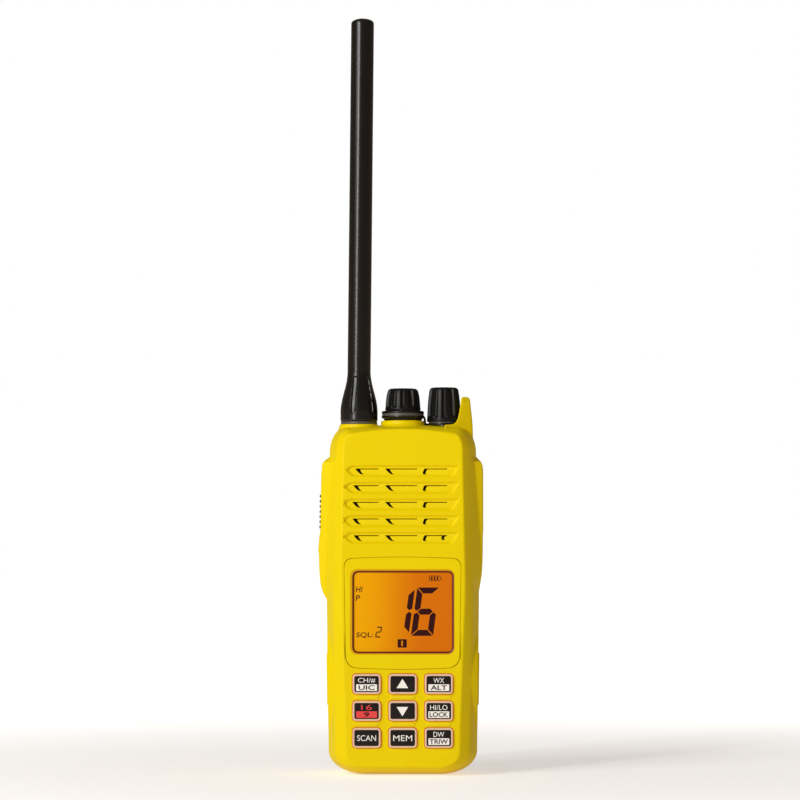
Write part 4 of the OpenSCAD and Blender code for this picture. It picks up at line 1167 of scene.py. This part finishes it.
    def screen(self) -> bpy.types.Object:
        """Builds the lit display block behind the window, with its marks."""
        made = Surface()
        deep = corners("lcd_glass")[1][1] - FACE_Y
        made.plate(self.window_loop(-0.12),
                   [(0.0, -deep), (0.0, -self.screen_deep - 0.1), (0.1, -self.screen_deep)],
                   ON_FACE, SCREEN)
        self.marks(made)
        return made.piece("lit_display", "radio", ("lcd_glass",))

    def build(self) -> None:
        """Builds the lens and the display."""
        self.lens()
        self.screen()


class Legend(Enum):
    """How a key is printed."""

    WORD = "one word"
    BAR = "a word over a light bar with a second word"
    UP = "a triangle that points up"
    DOWN = "a triangle that points down"


KEY_LEGENDS: dict[str, tuple[Legend, str, str]] = {
    "key_channel": (Legend.BAR, "CH/#", "UIC"),
    "key_up": (Legend.UP, "", ""),
    "key_weather": (Legend.BAR, "WX", "ALT"),
    "key_call": (Legend.BAR, "16", "9"),
    "key_down": (Legend.DOWN, "", ""),
    "key_power": (Legend.BAR, "HI/LO", "LOCK"),
    "key_scan": (Legend.WORD, "SCAN", ""),
    "key_memory": (Legend.WORD, "MEM", ""),
    "key_watch": (Legend.BAR, "DW", "TRIW"),
}


@dataclass
class Keypad:
    """The nine keys: a pale moulded rim, a dark printed face and its legend."""

    rim: float = 0.72
    letter_w: float = 2.05
    letter_h: float = 1.9
    deep: float = 0.9

    @staticmethod
    def outline_of(name: str, grow: float = 0.0) -> np.ndarray:
        """Gives a key's outline in the face, grown by a margin.

        Args:
            name: the key's CAD node.
            grow: the margin.

        Returns:
            The rounded rectangle.
        """
        flange = 0.7
        low, high = corners(name)
        low, high = low + flange - grow, high - flange + grow
        return box(low[0], low[2], high[0], high[2], 1.5 + grow)

    def legend(self, made: Surface, name: str, top: Place) -> None:
        """Prints a key.

        Args:
            made: the surface that takes the print.
            name: the key's CAD node.
            top: places flat shapes on the key's printed face.
        """
        kind, word, under = KEY_LEGENDS[name]
        ink = LEGEND_RED if name == "key_call" else LEGEND
        x, _, z = middle(name)
        lift = 0.03
        if kind in (Legend.UP, Legend.DOWN):
            turn = 1 if kind is Legend.UP else -1
            triangle = np.array([(-2.2, -1.55), (2.2, -1.55), (0, 2.0)]) * [1, turn]
            made.shape((triangle if turn > 0 else triangle[::-1]) + [x - 0.1, z], top, lift, ink)
            return
        half = 3.95
        if kind is Legend.WORD:
            made.letters(word, (x - 3.6, z - 1.15, 7.2, 2.2), top, lift, ink, 0.0)
            return
        width = min(self.letter_w * len(word), 6.6)
        made.letters(word, (x - width / 2, z + 0.4, width, self.letter_h), top, lift, ink, 0.0)
        made.shape(box(x - half, z - 2.6, x + half, z - 0.1, 0.15, 2), top, lift, ink)
        width = min(self.letter_w * len(under), 7.0)
        made.letters(under, (x - width / 2, z - 2.25, width, 1.8), top, 2 * lift, LABEL, 0.02)

    def key(self, name: str) -> bpy.types.Object:
        """Builds one key."""
        made = Surface()
        front_y = corners(name)[0][1]
        place = front(front_y)
        loop = self.outline_of(name)
        rows = soften([[0.0, -self.deep - 1.0], [0.0, -0.02], [0.34, 0.0], [self.rim - 0.12, -0.02],
                                [self.rim - 0.04, -0.07]], [0.32, 0.2, 0.05], 4)
        label = inset(loop, self.rim)
        made.plate(loop, rows, place, KEY_EDGE, holes=[label])
        made.plate(label, [(0.0, -0.07), (0.0, 0.0), (0.06, 0.02)], place, LABEL, open_start=True)
        self.legend(made, name, front(front_y - 0.02))
        return made.piece(name + "_top", name + "_cap", (name,))

    def build(self) -> None:
        """Builds all nine keys."""
        for name in KEY_LEGENDS:
            self.key(name)


# --- Top controls and antenna ---


@dataclass
class Knob:
    """A fluted knob that narrows towards its top."""

    node: str
    body: str
    flutes: int = 12
    flute_deep: float = 0.72
    top_share: float = 0.8

    def build(self) -> bpy.types.Object:
        """Builds the knob: a turned profile whose radius loses a rounded flute at even angles."""
        low, high = corners(self.node)
        centre, radius = middle(self.node), (high[0] - low[0]) / 2
        z0, z1 = low[2], high[2]
        tall = z1 - z0
        crown = self.top_share * radius
        profile = soften([
            [0, z0 + 0.4], [radius - 1.2, z0 + 0.4], [radius - 0.9, z0], [radius, z0],
            [radius, z0 + 0.12 * tall],
            [0.95 * radius, z0 + 0.62 * tall], [crown + 0.35, z1 - 0.75], [crown - 0.75, z1 - 0.12],
            [crown - 1.3, z1 - 0.4], [0, z1 - 0.35]], [0.1, 0.2, 0.3, 1.5, 2.5, 0.7, 0.35, 0.3], 6)

        def carve(angle: np.ndarray, height: np.ndarray, out: np.ndarray) -> np.ndarray:
            """Takes a flute off where the cosine of the angle times the flute count is high, rim included."""
            wave = np.clip((np.cos(self.flutes * angle) + 0.25) / 1.25, 0, 1) ** 0.6
            fade = np.clip((height - z0 - 0.1 * tall) / (0.08 * tall), 0, 1)
            fade = fade * np.clip((out - 0.55 * radius) / 0.8, 0, 1)
            return self.flute_deep * np.clip(wave**2 * (3 - 2 * wave), 0, 1) * fade

        made = Surface()
        made.turned(profile, centre[:2], KNOB, 16 * self.flutes, carve)
        return made.piece(self.node + "_grip", self.body, (self.node,))


@dataclass
class Seal:
    """Rubber seal: collar under the volume knob, ring under the right knob, and the web that joins them."""

    def build(self) -> bpy.types.Object:
        """Builds the seal from turned rings and a sloping web."""
        made = Surface()
        low, high = corners("knob_seal")
        knob, right = middle("volume_knob"), middle("squelch_knob")
        z, base = high[2] - 3.8, low[2]
        centre = knob[:2]
        made.ring(centre, 5.6, [(7.2, z), (7.35, z + 0.7), (7.9, z + 1.1)], [0.1, 0.3, 0.1], RUBBER)
        made.ring(centre, 5.6, [(7.7, z + 0.9), (8.25, z + 1.2), (8.25, z + 1.75)], [0.3, 0.2, 0.05], RUBBER)
        made.ring(centre, 5.6, [(8.1, z + 1.7), (8.0, z + 2.75)], [0.1, 0.1], GREY)
        made.ring(centre, 5.6, [(8.05, z + 2.7), (8.25, z + 3.15), (7.9, z + 3.75)], [0.2, 0.3, 0.3], RUBBER)
        made.ring(right[:2], 5.3, [(6.4, base), (6.5, base + 0.55), (6.2, base + 0.8)], [0.1, 0.2, 0.2],
                  RUBBER)
        made.ring(right[:2], 5.3, [(5.9, base + 0.7), (5.9, base + 1.3)], [0.05, 0.05], GREY)
        self.web(made, knob, right, z, base)
        return made.piece("control_seal", "radio", ("knob_seal",))

    @staticmethod
    def web(made: Surface, knob: np.ndarray, right: np.ndarray, z: float, base: float) -> None:
        """Adds the web: a rounded band carried down a short curve from the collar to the ring.

        Args:
            made: the surface that takes it.
            knob, right: the two knobs' centres.
            z: height of the collar's foot.
            base: height of the ring's foot.
        """
        path = soften([[knob[0] + 7.6, z + 2.0], [knob[0] + 8.35, z + 1.1], [right[0] - 7.2, base + 0.5],
                                [right[0] - 6.0, base + 0.4]], [0.6, 0.5], 5)
        band = box(-1.2, -0.42, 1.2, 0.42, 0.4, 4)
        along = np.gradient(path, axis=0)
        along /= np.linalg.norm(along, axis=1, keepdims=True)
        normal = np.column_stack([-along[:, 1], along[:, 0]])
        x = path[:, None, 0] + normal[:, None, 0] * band[None, :, 1]
        height = path[:, None, 1] + normal[:, None, 1] * band[None, :, 1]
        depth = knob[1] + 1.4 + band[None, :, 0] + 0 * x
        grid = np.stack([x, depth, height], -1)
        made.grid(grid, RUBBER, closed=True)
        made.cap(grid[0], RUBBER)
        made.cap(grid[-1], RUBBER)


@dataclass
class Antenna:
    """The whip: a slim rod that flares into a fluted foot, and the grey ring under it."""

    rod: float = 4.45
    foot: float = 7.15
    flare_from: float = 3.5
    flare_to: float = 19.5
    flutes: int = 6
    flute_turn: float = 18.5
    flute_deep: float = 0.55
    flute_half: float = 0.95
    lean: float = 0.0095

    def radius(self, height: np.ndarray) -> np.ndarray:
        """Gives the whip's radius: half a cosine wave from the foot to the rod, which thins slightly."""
        share = np.clip((height - self.flare_from) / (self.flare_to - self.flare_from), 0, 1)
        thin = 0.05 * np.clip(height / 150, 0, 1)
        return self.rod - thin + (self.foot - self.rod) * (0.5 + 0.5 * np.cos(np.pi * share))

    def build(self) -> None:
        """Builds the whip and its ring."""
        low, high = corners("antenna_whip")
        centre = middle("antenna_whip")
        z0, tall = low[2], high[2] - low[2]
        level = np.concatenate([np.linspace(0.5, 24, 110), np.linspace(25, tall - 2.2, 60)])
        tip = arc((0, tall - 1.9), (self.rod - 0.06, 1.9), 4, 90, 8)
        profile = np.concatenate([[[0, 0], [self.foot - 0.5, 0], [self.foot - 0.15, 0.15]],
                                  np.column_stack([self.radius(level), level]), tip])
        profile[:, 1] += z0

        def carve(angle: np.ndarray, height: np.ndarray, out: np.ndarray) -> np.ndarray:
            """Presses round-ended upright grooves into the foot, deepest on each groove's centre line."""
            turn = angle + math.radians(self.flute_turn)
            step = 2 * np.pi / self.flutes
            off = (np.mod(turn + step / 2, step) - step / 2) * out
            along = np.maximum(np.maximum(z0 + 3.8 - height, height - z0 - 16.5), 0)
            reach = np.hypot(off, along) / self.flute_half
            return self.flute_deep * np.clip(1 - reach**4, 0, 1) ** 0.5 * (reach < 1)

        made = Surface()
        made.turned(profile, centre[:2], RUBBER, 320, carve)
        rod = made.solid[-1][0]
        rod[:, 0] += self.lean * np.clip(rod[:, 2] - z0 - self.flare_to, 0, None)
        made.piece("whip", "radio", ("antenna_whip",))
        low, high = corners("antenna_ring")
        collar = Surface()
        collar.ring(centre[:2], 3.7, [(6.95, low[2]), (7.05, low[2] + 0.5), (6.95, high[2])],
                    [0.15, 0.3, 0.15], GREY)
        collar.piece("whip_ring", "radio", ("antenna_ring",))


# --- Rear half, battery and belt clip ---


def notched(loop: np.ndarray, half: float, top: float) -> np.ndarray:
    """Cuts a rectangular notch into the middle of an outline's flat bottom.

    Args:
        loop: the outline, anticlockwise from the middle of its bottom.
        half: half width of the notch.
        top: height of the notch.

    Returns:
        The notched outline.
    """
    flat = (loop[:, 1] < 0.5) & (np.abs(loop[:, 0]) < half + 0.05)
    return np.vstack([[(-half, 0), (-half, top), (half, top), (half, 0)], loop[~flat]])


@dataclass
class RearShell:
    """Back half of the casing: plate with rails, hump, lanyard lug, and the dark gasket line in the seam."""

    edge: np.ndarray
    hump_z: float = 100.0
    hump_y: float = 20.5
    notch: Pair = (8.0, 7.7)
    notch_y: float = 5.2
    lug_at: tuple[float, float, float] = (-18.0, 22.8, 122.4)
    lug_rim: float = 3.2
    lug_half: float = 2.4
    lug_eye: float = 1.6
    rails_x: Pair = (-18.0, 18.0)

    def hump(self, made: Surface, outline: Outline) -> None:
        """Adds the hump: the top of the outline carried back, with a soft rear edge.

        Args:
            made: the surface that takes it.
            outline: the body's outline.
        """
        points, _ = outline.half(np.linspace(self.hump_z + 6, outline.height - outline.shoulder[1], 24))
        upper = points[points[:, 1] > self.hump_z + 5.5]
        left = (upper * [-1, 1])[-2::-1]
        x = outline.side(np.array([self.hump_z]))[0]
        low = soften([(-x, self.hump_z + 12), (-x, self.hump_z), (0, self.hump_z), (x, self.hump_z),
                      (x, self.hump_z + 12)], [5.0, 0.1, 5.0], 6)[1:-1]
        loop = np.vstack([low, upper, left])
        rear = self.hump_y - BACK_Y
        rows = soften([(0.0, -1.0), (0.0, 5.0), (0.7, rear - 3.2), (1.2, rear - 1.1), (3.3, rear)],
                      [2.0, 2.0, 2.4], 6)
        made.plate(loop, rows, back(BACK_Y), YELLOW)

    def lug(self, made: Surface) -> None:
        """Adds the lanyard lug: a level ring on a short foot."""
        (x, y, z), rim, half = self.lug_at, self.lug_rim, self.lug_half
        rows = [(rim - 0.5, x - half), (rim, x - half + 0.4), (rim, x + half - 0.4), (rim - 0.5, x + half)]
        made.ring((y, z), self.lug_eye, rows, [0.3, 0.4, 0.4, 0.3], YELLOW, level=True)
        foot = box(x - half, z - rim, x + half, z + rim, 0.5)
        made.plate(foot, [(0.0, 19.0), (0.0, 21.0), (0.2, 21.2)], UPRIGHT, YELLOW)

    def build(self) -> None:
        """Builds the rear shell and the gasket line."""
        made = Surface()
        place = back(SPLIT_Y)
        rows = [(0.3, 0.0), (0.0, 0.3), (0.0, self.notch_y - SPLIT_Y)]
        made.plate(self.edge, rows, place, YELLOW)
        thick = BACK_Y - SPLIT_Y
        rows = [(0.0, self.notch_y - SPLIT_Y), (0.0, thick - 0.7), (0.2, thick - 0.2), (0.7, thick)]
        made.plate(notched(self.edge, *self.notch), rows, place, YELLOW)
        self.hump(made, Outline())
        self.lug(made)
        for x in self.rails_x:
            made.plate(box(x - 1.5, 14.8, x + 1.5, 95.6, 0.3),
                       [(0.0, -0.5), (0.0, 0.0), (-0.75, 1.6), (-0.75, 2.0)], back(BACK_Y), YELLOW)
        made.piece("rear_case", "radio", ("rear_housing",))
        line = Surface()
        line.plate(self.edge, [(0.24, -0.35), (0.24, 0.35)], place, RUBBER)
        line.piece("seam_gasket", "radio", ("housing_gasket",))
        pads = Surface()
        for sign in (-1, 1):
            surface = side(sign, Outline().side)
            pads.plate(box(-6.0, 26.0, 3.0, 46.0, 1.4),
                       [(0.0, -0.3), (0.0, 0.25), (0.15, 0.42), (0.4, 0.5)], surface, YELLOW)
        pads.piece("side_pads", "radio", ("grip_pads",))


@dataclass
class BatteryPack:
    """The pack: grooved case with a blank label recess, rail slots, contact wells and the latch below."""

    outline: Outline = field(
        default_factory=lambda: Outline(27.3, 27.3, 50.0, 27.3, 99.4, (14.0, 9.0), (3.5, 3.5)))
    near: float = 7.3
    slot_y: float = 9.5
    notch_y: float = 16.7
    far: float = 20.5
    notch: Pair = (7.85, 7.45)
    rail_x: float = 18.0
    rail_half: float = 2.6
    rail_low: float = 13.7
    label: tuple[float, float, float, float] = (-17.0, 24.0, 17.0, 72.0)
    latch_half: float = 7.6
    tip_half: float = 6.0
    bore: tuple[float, float, float] = (0.0, 3.9, 1.9)
    bore_deep: float = 2.7

    def slotted(self, loop: np.ndarray) -> np.ndarray:
        """Cuts the two rail slots into the outline's top edge."""
        top = self.outline.height
        flat = (loop[:, 1] > top - 0.01) & (np.abs(loop[:, 0]) < self.outline.top - 3.6)
        first = int(np.flatnonzero(flat)[0])
        slots = [(sign * self.rail_x + step, z) for sign in (1, -1)
                 for step, z in ((self.rail_half, top), (self.rail_half, self.rail_low),
                                 (-self.rail_half, self.rail_low), (-self.rail_half, top))]
        return np.vstack([loop[:first], slots, loop[first:][~flat[first:]]])

    def build(self) -> None:
        """Builds the pack's case in three layers, and the latch."""
        made = Surface()
        place = UPRIGHT
        levels = np.linspace(9, 95.9, 12)[1:-1]
        loop, _ = self.outline.loop(levels, levels)
        low = notched(loop, *self.notch)
        slotted = self.slotted(low)
        wells = [circle(x, middle("battery_contacts")[2], 2.65) for x in (-7, 0, 7)]
        rows = [(0.0, self.slot_y), (0.0, self.near + 0.35), (0.3, self.near)]
        made.plate(slotted, rows, place, YELLOW, wells)
        for well in wells:
            made.plate(well, [(0.0, self.near), (0.0, self.near + 1.2)], place, YELLOW, floor=BRASS,
                       open_start=True)
        rows = [(0.0, self.slot_y - 0.02), (0.0, 10.3), (0.25, 10.5), (0.0, 10.7), (0.1, self.notch_y)]
        made.plate(low, rows, place, YELLOW)
        holes = [circle(x, middle("charge_contacts")[2], 2.3) for x in (-6, 6)]
        label = box(*self.label, 2.5)
        rows = soften([(0.1, self.notch_y - 0.02), (0.3, self.far - 2.6), (0.9, self.far - 0.9),
                       (2.8, self.far), (3.3, self.far)], [1.4, 1.4, 0.3], 6)
        made.plate(loop, rows, place, YELLOW, [*holes, label])
        rows = [(0.0, self.far), (0.2, self.far), (0.35, self.far - 0.25), (0.6, self.far - 0.3),
                (0.9, self.far - 0.3)]
        made.plate(label, rows, place, YELLOW, open_start=True)
        rows = [(0.0, self.far), (0.2, self.far - 0.3), (0.2, self.far - 1.0)]
        for hole in holes:
            made.plate(hole, rows, place, YELLOW, floor=BRASS, open_start=True)
        made.piece("pack_case", "battery_pack", ("battery_case", "battery_lid"))
        self.latch()

    def latch(self) -> None:
        """Builds the latch: a grooved slider with a tip that enters the rear shell's notch."""
        made = Surface()
        low, high = corners("battery_latch")
        bore, y0, y1 = circle(*self.bore), self.near + 0.2, high[1]
        block = box(-self.latch_half, low[2], self.latch_half, high[2], 0.5)
        made.plate(block, [(0.25, y0), (0.0, y0 + 0.3), (0.0, y1 - 0.3), (0.25, y1)], UPRIGHT, BLACK, [bore])
        made.plate(bore, [(0.0, y1), (0.0, y1 - self.bore_deep)], UPRIGHT, BLACK, open_start=True)
        tip = box(-self.tip_half, 3.0, self.tip_half, high[2] - 0.4, 0.3)
        made.plate(tip, [(0.4, low[1]), (0.0, low[1] + 0.6), (0.0, y0 + 0.1)], UPRIGHT, BLACK)
        for step in range(4):
            y = 8.2 + 1.2 * step
            made.plate(box(-5.5, y, 5.5, y + 0.55, 0.2, 3),
                       [(0.0, 0.6), (0.0, 0.35), (0.15, 0.22)], level, BLACK)
        made.piece("pack_latch", "latch", ("battery_latch",))


@dataclass
class BeltClip:
    """The belt clip: a curved strap with a ribbed thumb tab and two hinge lugs."""

    axis: Pair = (24.5, 116.0)
    thick: float = 2.4
    lugs: Pair = (2.5, 5.35)
    ribs: int = 5

    def build(self) -> None:
        """Builds the strap, its ribs and its lugs."""
        made = Surface()
        low, high = corners("belt_clip")
        y0, y1, z0, z1 = high[1] - self.thick, high[1], low[2], high[2]
        profile = rounded([(y0, z1 - 0.3), (y0, z0 + 16), (y0 - 6.0, z0 + 6.5), (y0 - 3.2, z0),
                           (y0 - 1.6, z0 + 0.5), (y0 - 3.1, z0 + 6.3), (y1, z0 + 14), (y1, z1 - 0.6)],
                          [0.9, 5.0, 2.0, 0.8, 0.7, 2.4, 5.0, 1.0], 6)
        half = high[0]
        rows = soften([(0.55, -half), (0.0, -half), (0.0, half), (0.55, half)], [0.5, 0.5], 5)
        made.plate(profile, rows, across(0.0), BLACK)
        for step in range(self.ribs):
            z = z1 - 3.0 - 1.9 * step
            made.plate(box(-6.2, z - 0.45, 6.2, z + 0.45, 0.4),
                       [(0.0, y1 - 0.4), (0.0, y1 + 0.15), (0.2, y1 + 0.35)], UPRIGHT, BLACK)
        for sign in (-1, 1):
            x0, x1 = sorted(sign * np.array(self.lugs))
            made.ring(self.axis, 1.26, [(2.0, x0), (2.2, x0 + 0.2), (2.2, x1 - 0.2), (2.0, x1)],
                      [0.15] * 4, BLACK, level=True)
            web = box(x0 + 0.1, self.axis[1] - 2.1, x1 - 0.1, self.axis[1] + 2.1, 0.2)
            made.plate(web, [(0.0, self.axis[0] + 1.35), (0.0, y0 + 0.3)], UPRIGHT, BLACK)
        made.piece("clip_strap", "clip", ("belt_clip",))


# --- Side controls ---


@dataclass
class TalkPaddle:
    """Push-to-talk paddle in the left wing, with its ribbed rubber grip."""

    wings: Wings = field(default_factory=Wings)
    outline: Outline = field(default_factory=Outline)
    proud: float = 0.3
    ribs: int = 7

    def build(self) -> None:
        """Builds the paddle and the grip."""
        low, high = corners("ptt_grip")
        grip = box(low[1], low[2], high[1], high[2], 0.7)
        place = side(-1, lambda z: self.wings.half_width(z, -1, self.outline))
        made = Surface()
        rows = soften([(0.0, -1.6), (0.0, self.proud), (0.9, self.proud)], [0.5], 5)
        loop = self.fine(-6.3, 84.4, 2.3, 116.0, 1.0)
        made.plate(loop, rows, place, YELLOW, [inset(grip, -0.15)])
        made.plate(inset(grip, -0.15), [(0.0, self.proud), (0.1, self.proud - 0.1), (0.1, -0.5)], place,
                   RUBBER, open_start=True)
        made.piece("talk_paddle", "ptt", ("ptt_paddle",))
        rubber = Surface()
        rubber.plate(grip, [(0.0, -0.7), (0.0, -0.1), (0.2, 0.0)], place, RUBBER)
        pitch = (high[2] - low[2] - 0.6) / self.ribs
        for step in range(self.ribs):
            z = low[2] + 0.3 + step * pitch
            bar = box(low[1] + 0.1, z + 0.2, high[1] - 0.1, z + 0.74 * pitch, 0.35, 3)
            rubber.plate(bar, [(0.0, -0.1), (0.0, self.proud + 0.2), (0.25, self.proud + 0.45)], place,
                         RUBBER)
        rubber.piece("talk_grip", "ptt", ("ptt_grip",))

    @staticmethod
    def fine(y0: float, z0: float, y1: float, z1: float, radius: float) -> np.ndarray:
        """Makes a rounded rectangle with many points on its long sides, so that it can follow a surface."""
        levels = np.linspace(z0 + 1.5, z1 - 1.5, 40)
        loop = box(y0, z0, y1, z1, radius)
        right, left = (np.column_stack([np.full(40, y), levels]) for y in (y1, y0))
        return np.vstack([loop[:12], right, loop[12:], left[::-1]])


@dataclass
class SideCover:
    """Jack cover in the right wing: a plate with a finger notch, a hinge barrel and a plug."""

    wings: Wings = field(default_factory=Wings)
    outline: Outline = field(default_factory=Outline)
    inner: float = 29.35

    def build(self) -> None:
        """Builds the cover."""
        made = Surface()
        low, high = corners("jack_cover")
        pin, jack = middle("jack_cover_pin"), middle("accessory_jack")
        z0, z1, y0 = low[2], high[2], low[1]
        outer = float(self.wings.half_width(np.array([105.0]), 1, self.outline)[0])
        thick = outer - self.inner
        loop = rounded([(y0, z0), (pin[1], z0), (pin[1], z1), (y0, z1), (y0, jack[2] + 4),
                        (y0 + 1.0, jack[2] + 3), (y0 + 1.0, jack[2] - 3), (y0, jack[2] - 4)],
                        [0.9, 0.1, 0.1, 0.9, 1.0, 1.0, 1.0, 1.0], 5)
        rows = soften([(0.15, 0.0), (0.0, 0.15), (0.0, thick), (0.5, thick)], [0.1, 0.45], 5)
        made.plate(loop, rows, across(self.inner), YELLOW)
        barrel = soften([(0.55, z0), (0.8, z0), (0.92, z0 + 0.2), (0.92, z1 - 0.2), (0.8, z1), (0.55, z1)],
                        [0.1, 0.1, 0.1, 0.1], 3)
        made.turned(np.vstack([barrel, barrel[:1]]), pin[:2], YELLOW, 40)
        for step in (-3.2, -1.6, 0.0, 1.6, 3.2):
            bar = box(y0 + 2.0, jack[2] + step - 0.3, y0 + 4.4, jack[2] + step + 0.3, 0.25, 3)
            made.plate(bar, [(0.0, thick - 0.2), (0.0, thick + 0.05), (0.15, thick + 0.25)],
                       across(self.inner), YELLOW)
        made.plate(circle(jack[1], jack[2], 2.5), [(0.3, 28.25), (0.0, 28.5), (0.0, self.inner + 0.2)],
                   across(0.0), RUBBER)
        made.piece("side_cover_plate", "side_cover", ("jack_cover",))


# --- Carried-over nodes, studio and main ---


def dress_cad_nodes() -> None:
    """Gives every carried-over CAD node the finish of its material slot."""
    slots = {row["node"]: row["material_slot"] for row in frame["record"]["subparts"]}
    for node, made in frame["nodes"].items():
        finish = SLOT_FINISH[slots[node]]
        made.data.materials.clear()
        made.data.materials.append(finish.build())
        LOG.info("%s: %s", node, finish.name)


@dataclass
class Studio:
    """Pale floor, soft lights and the camera."""

    distance_mm: float = 1250.0
    span_mm: float = 307.0
    eye: Pair = (9.0, 85.0)
    aim: Pair = (-1.1, 143.1)
    aim_y: float = -10.0
    surround: Rgba = (0.2, 0.16, 0.13, 1.0)

    def camera(self) -> None:
        """Makes the camera, level with the grille and looking up at the middle of the whole height."""
        data = bpy.data.cameras.new("camera")
        data.lens = data.sensor_width * self.distance_mm / self.span_mm
        data.clip_end = 50
        camera = bpy.data.objects.new("camera", data)
        bpy.context.scene.collection.objects.link(camera)
        look = Vector((self.aim[0] - self.eye[0], self.distance_mm, self.aim[1] - self.eye[1]))
        camera.location = (self.eye[0] * MM, (self.aim_y - self.distance_mm) * MM, self.eye[1] * MM)
        camera.rotation_euler = look.to_track_quat("-Z", "Y").to_euler()
        bpy.context.scene.camera = camera

    @staticmethod
    def light(name: str, place: tuple[float, float, float], size: Pair, power: float) -> None:
        """Adds a rectangular soft light that looks at the middle of the object.

        Args:
            name: its name.
            place: where it is, in metres.
            size: its width and height, in metres.
            power: its power in watts.
        """
        data = bpy.data.lights.new(name, "AREA")
        data.shape = "RECTANGLE"
        data.size, data.size_y = size
        data.energy = power
        made = bpy.data.objects.new(name, data)
        bpy.context.scene.collection.objects.link(made)
        made.location = place
        made.rotation_euler = (Vector((0, 0, 0.1)) - Vector(place)).to_track_quat("-Z", "Y").to_euler()

    def floor(self) -> None:
        """Makes the floor: a flat disc whose rim lies beyond what the camera sees."""
        radius = np.array([0.001, 0.3, 1.0, 3.0, 12.0])[:, None]
        angle = np.linspace(0, 2 * np.pi, 64, endpoint=False)[None, :]
        grid = np.stack([radius * np.cos(angle), radius * np.sin(angle), 0 * radius * angle], -1)
        index = np.arange(grid.shape[0] * 64).reshape(-1, 64)
        index = np.hstack([index, index[:, :1]])
        quads = np.stack([index[:-1, :-1], index[1:, :-1], index[1:, 1:], index[:-1, 1:]], -1).reshape(-1, 4)
        mesh = bpy.data.meshes.new("floor")
        mesh.from_pydata(grid.reshape(-1, 3).tolist(), [], [*quads.tolist(), list(range(64))])
        mesh.materials.append(PAPER.build())
        made = bpy.data.objects.new("floor", mesh)
        made.location = (0, 0, -0.0003)
        bpy.context.scene.collection.objects.link(made)

    def world(self) -> None:
        """Makes the surroundings: white where the camera sees them, dimmer where they light the object."""
        world = bpy.data.worlds.new("world")
        tree = Tree(world)
        seen = tree.blend(tree.add("LightPath", "Is Camera Ray"), self.surround, WHITE_LIGHT)
        tree.set(tree.nodes["Background"], {"Color": seen})
        bpy.context.scene.world = world

    def build(self) -> None:
        """Makes the camera, the surroundings, the floor and the lights."""
        self.camera()
        self.world()
        bpy.context.scene.view_settings.view_transform = "Standard"
        self.floor()
        self.light("key", (-0.95, -1.0, 0.85), (0.6, 0.8), 8.2)
        self.light("strip", (-0.8, -1.27, 0.45), (0.14, 0.8), 6.8)


def main() -> None:
    """Builds the scene and writes how large it is."""
    Studio().build()
    dress_cad_nodes()
    shell = FrontShell()
    shell.build()
    RearShell(shell.edge()).build()
    BatteryPack().build()
    BeltClip().build()
    TalkPaddle().build()
    SideCover().build()
    Display().build()
    Keypad().build()
    Knob("volume_knob", "volume_dial").build()
    Knob("squelch_knob", "squelch_dial").build()
    Seal().build()
    Antenna().build()


if __name__ == "__main__":
    main()
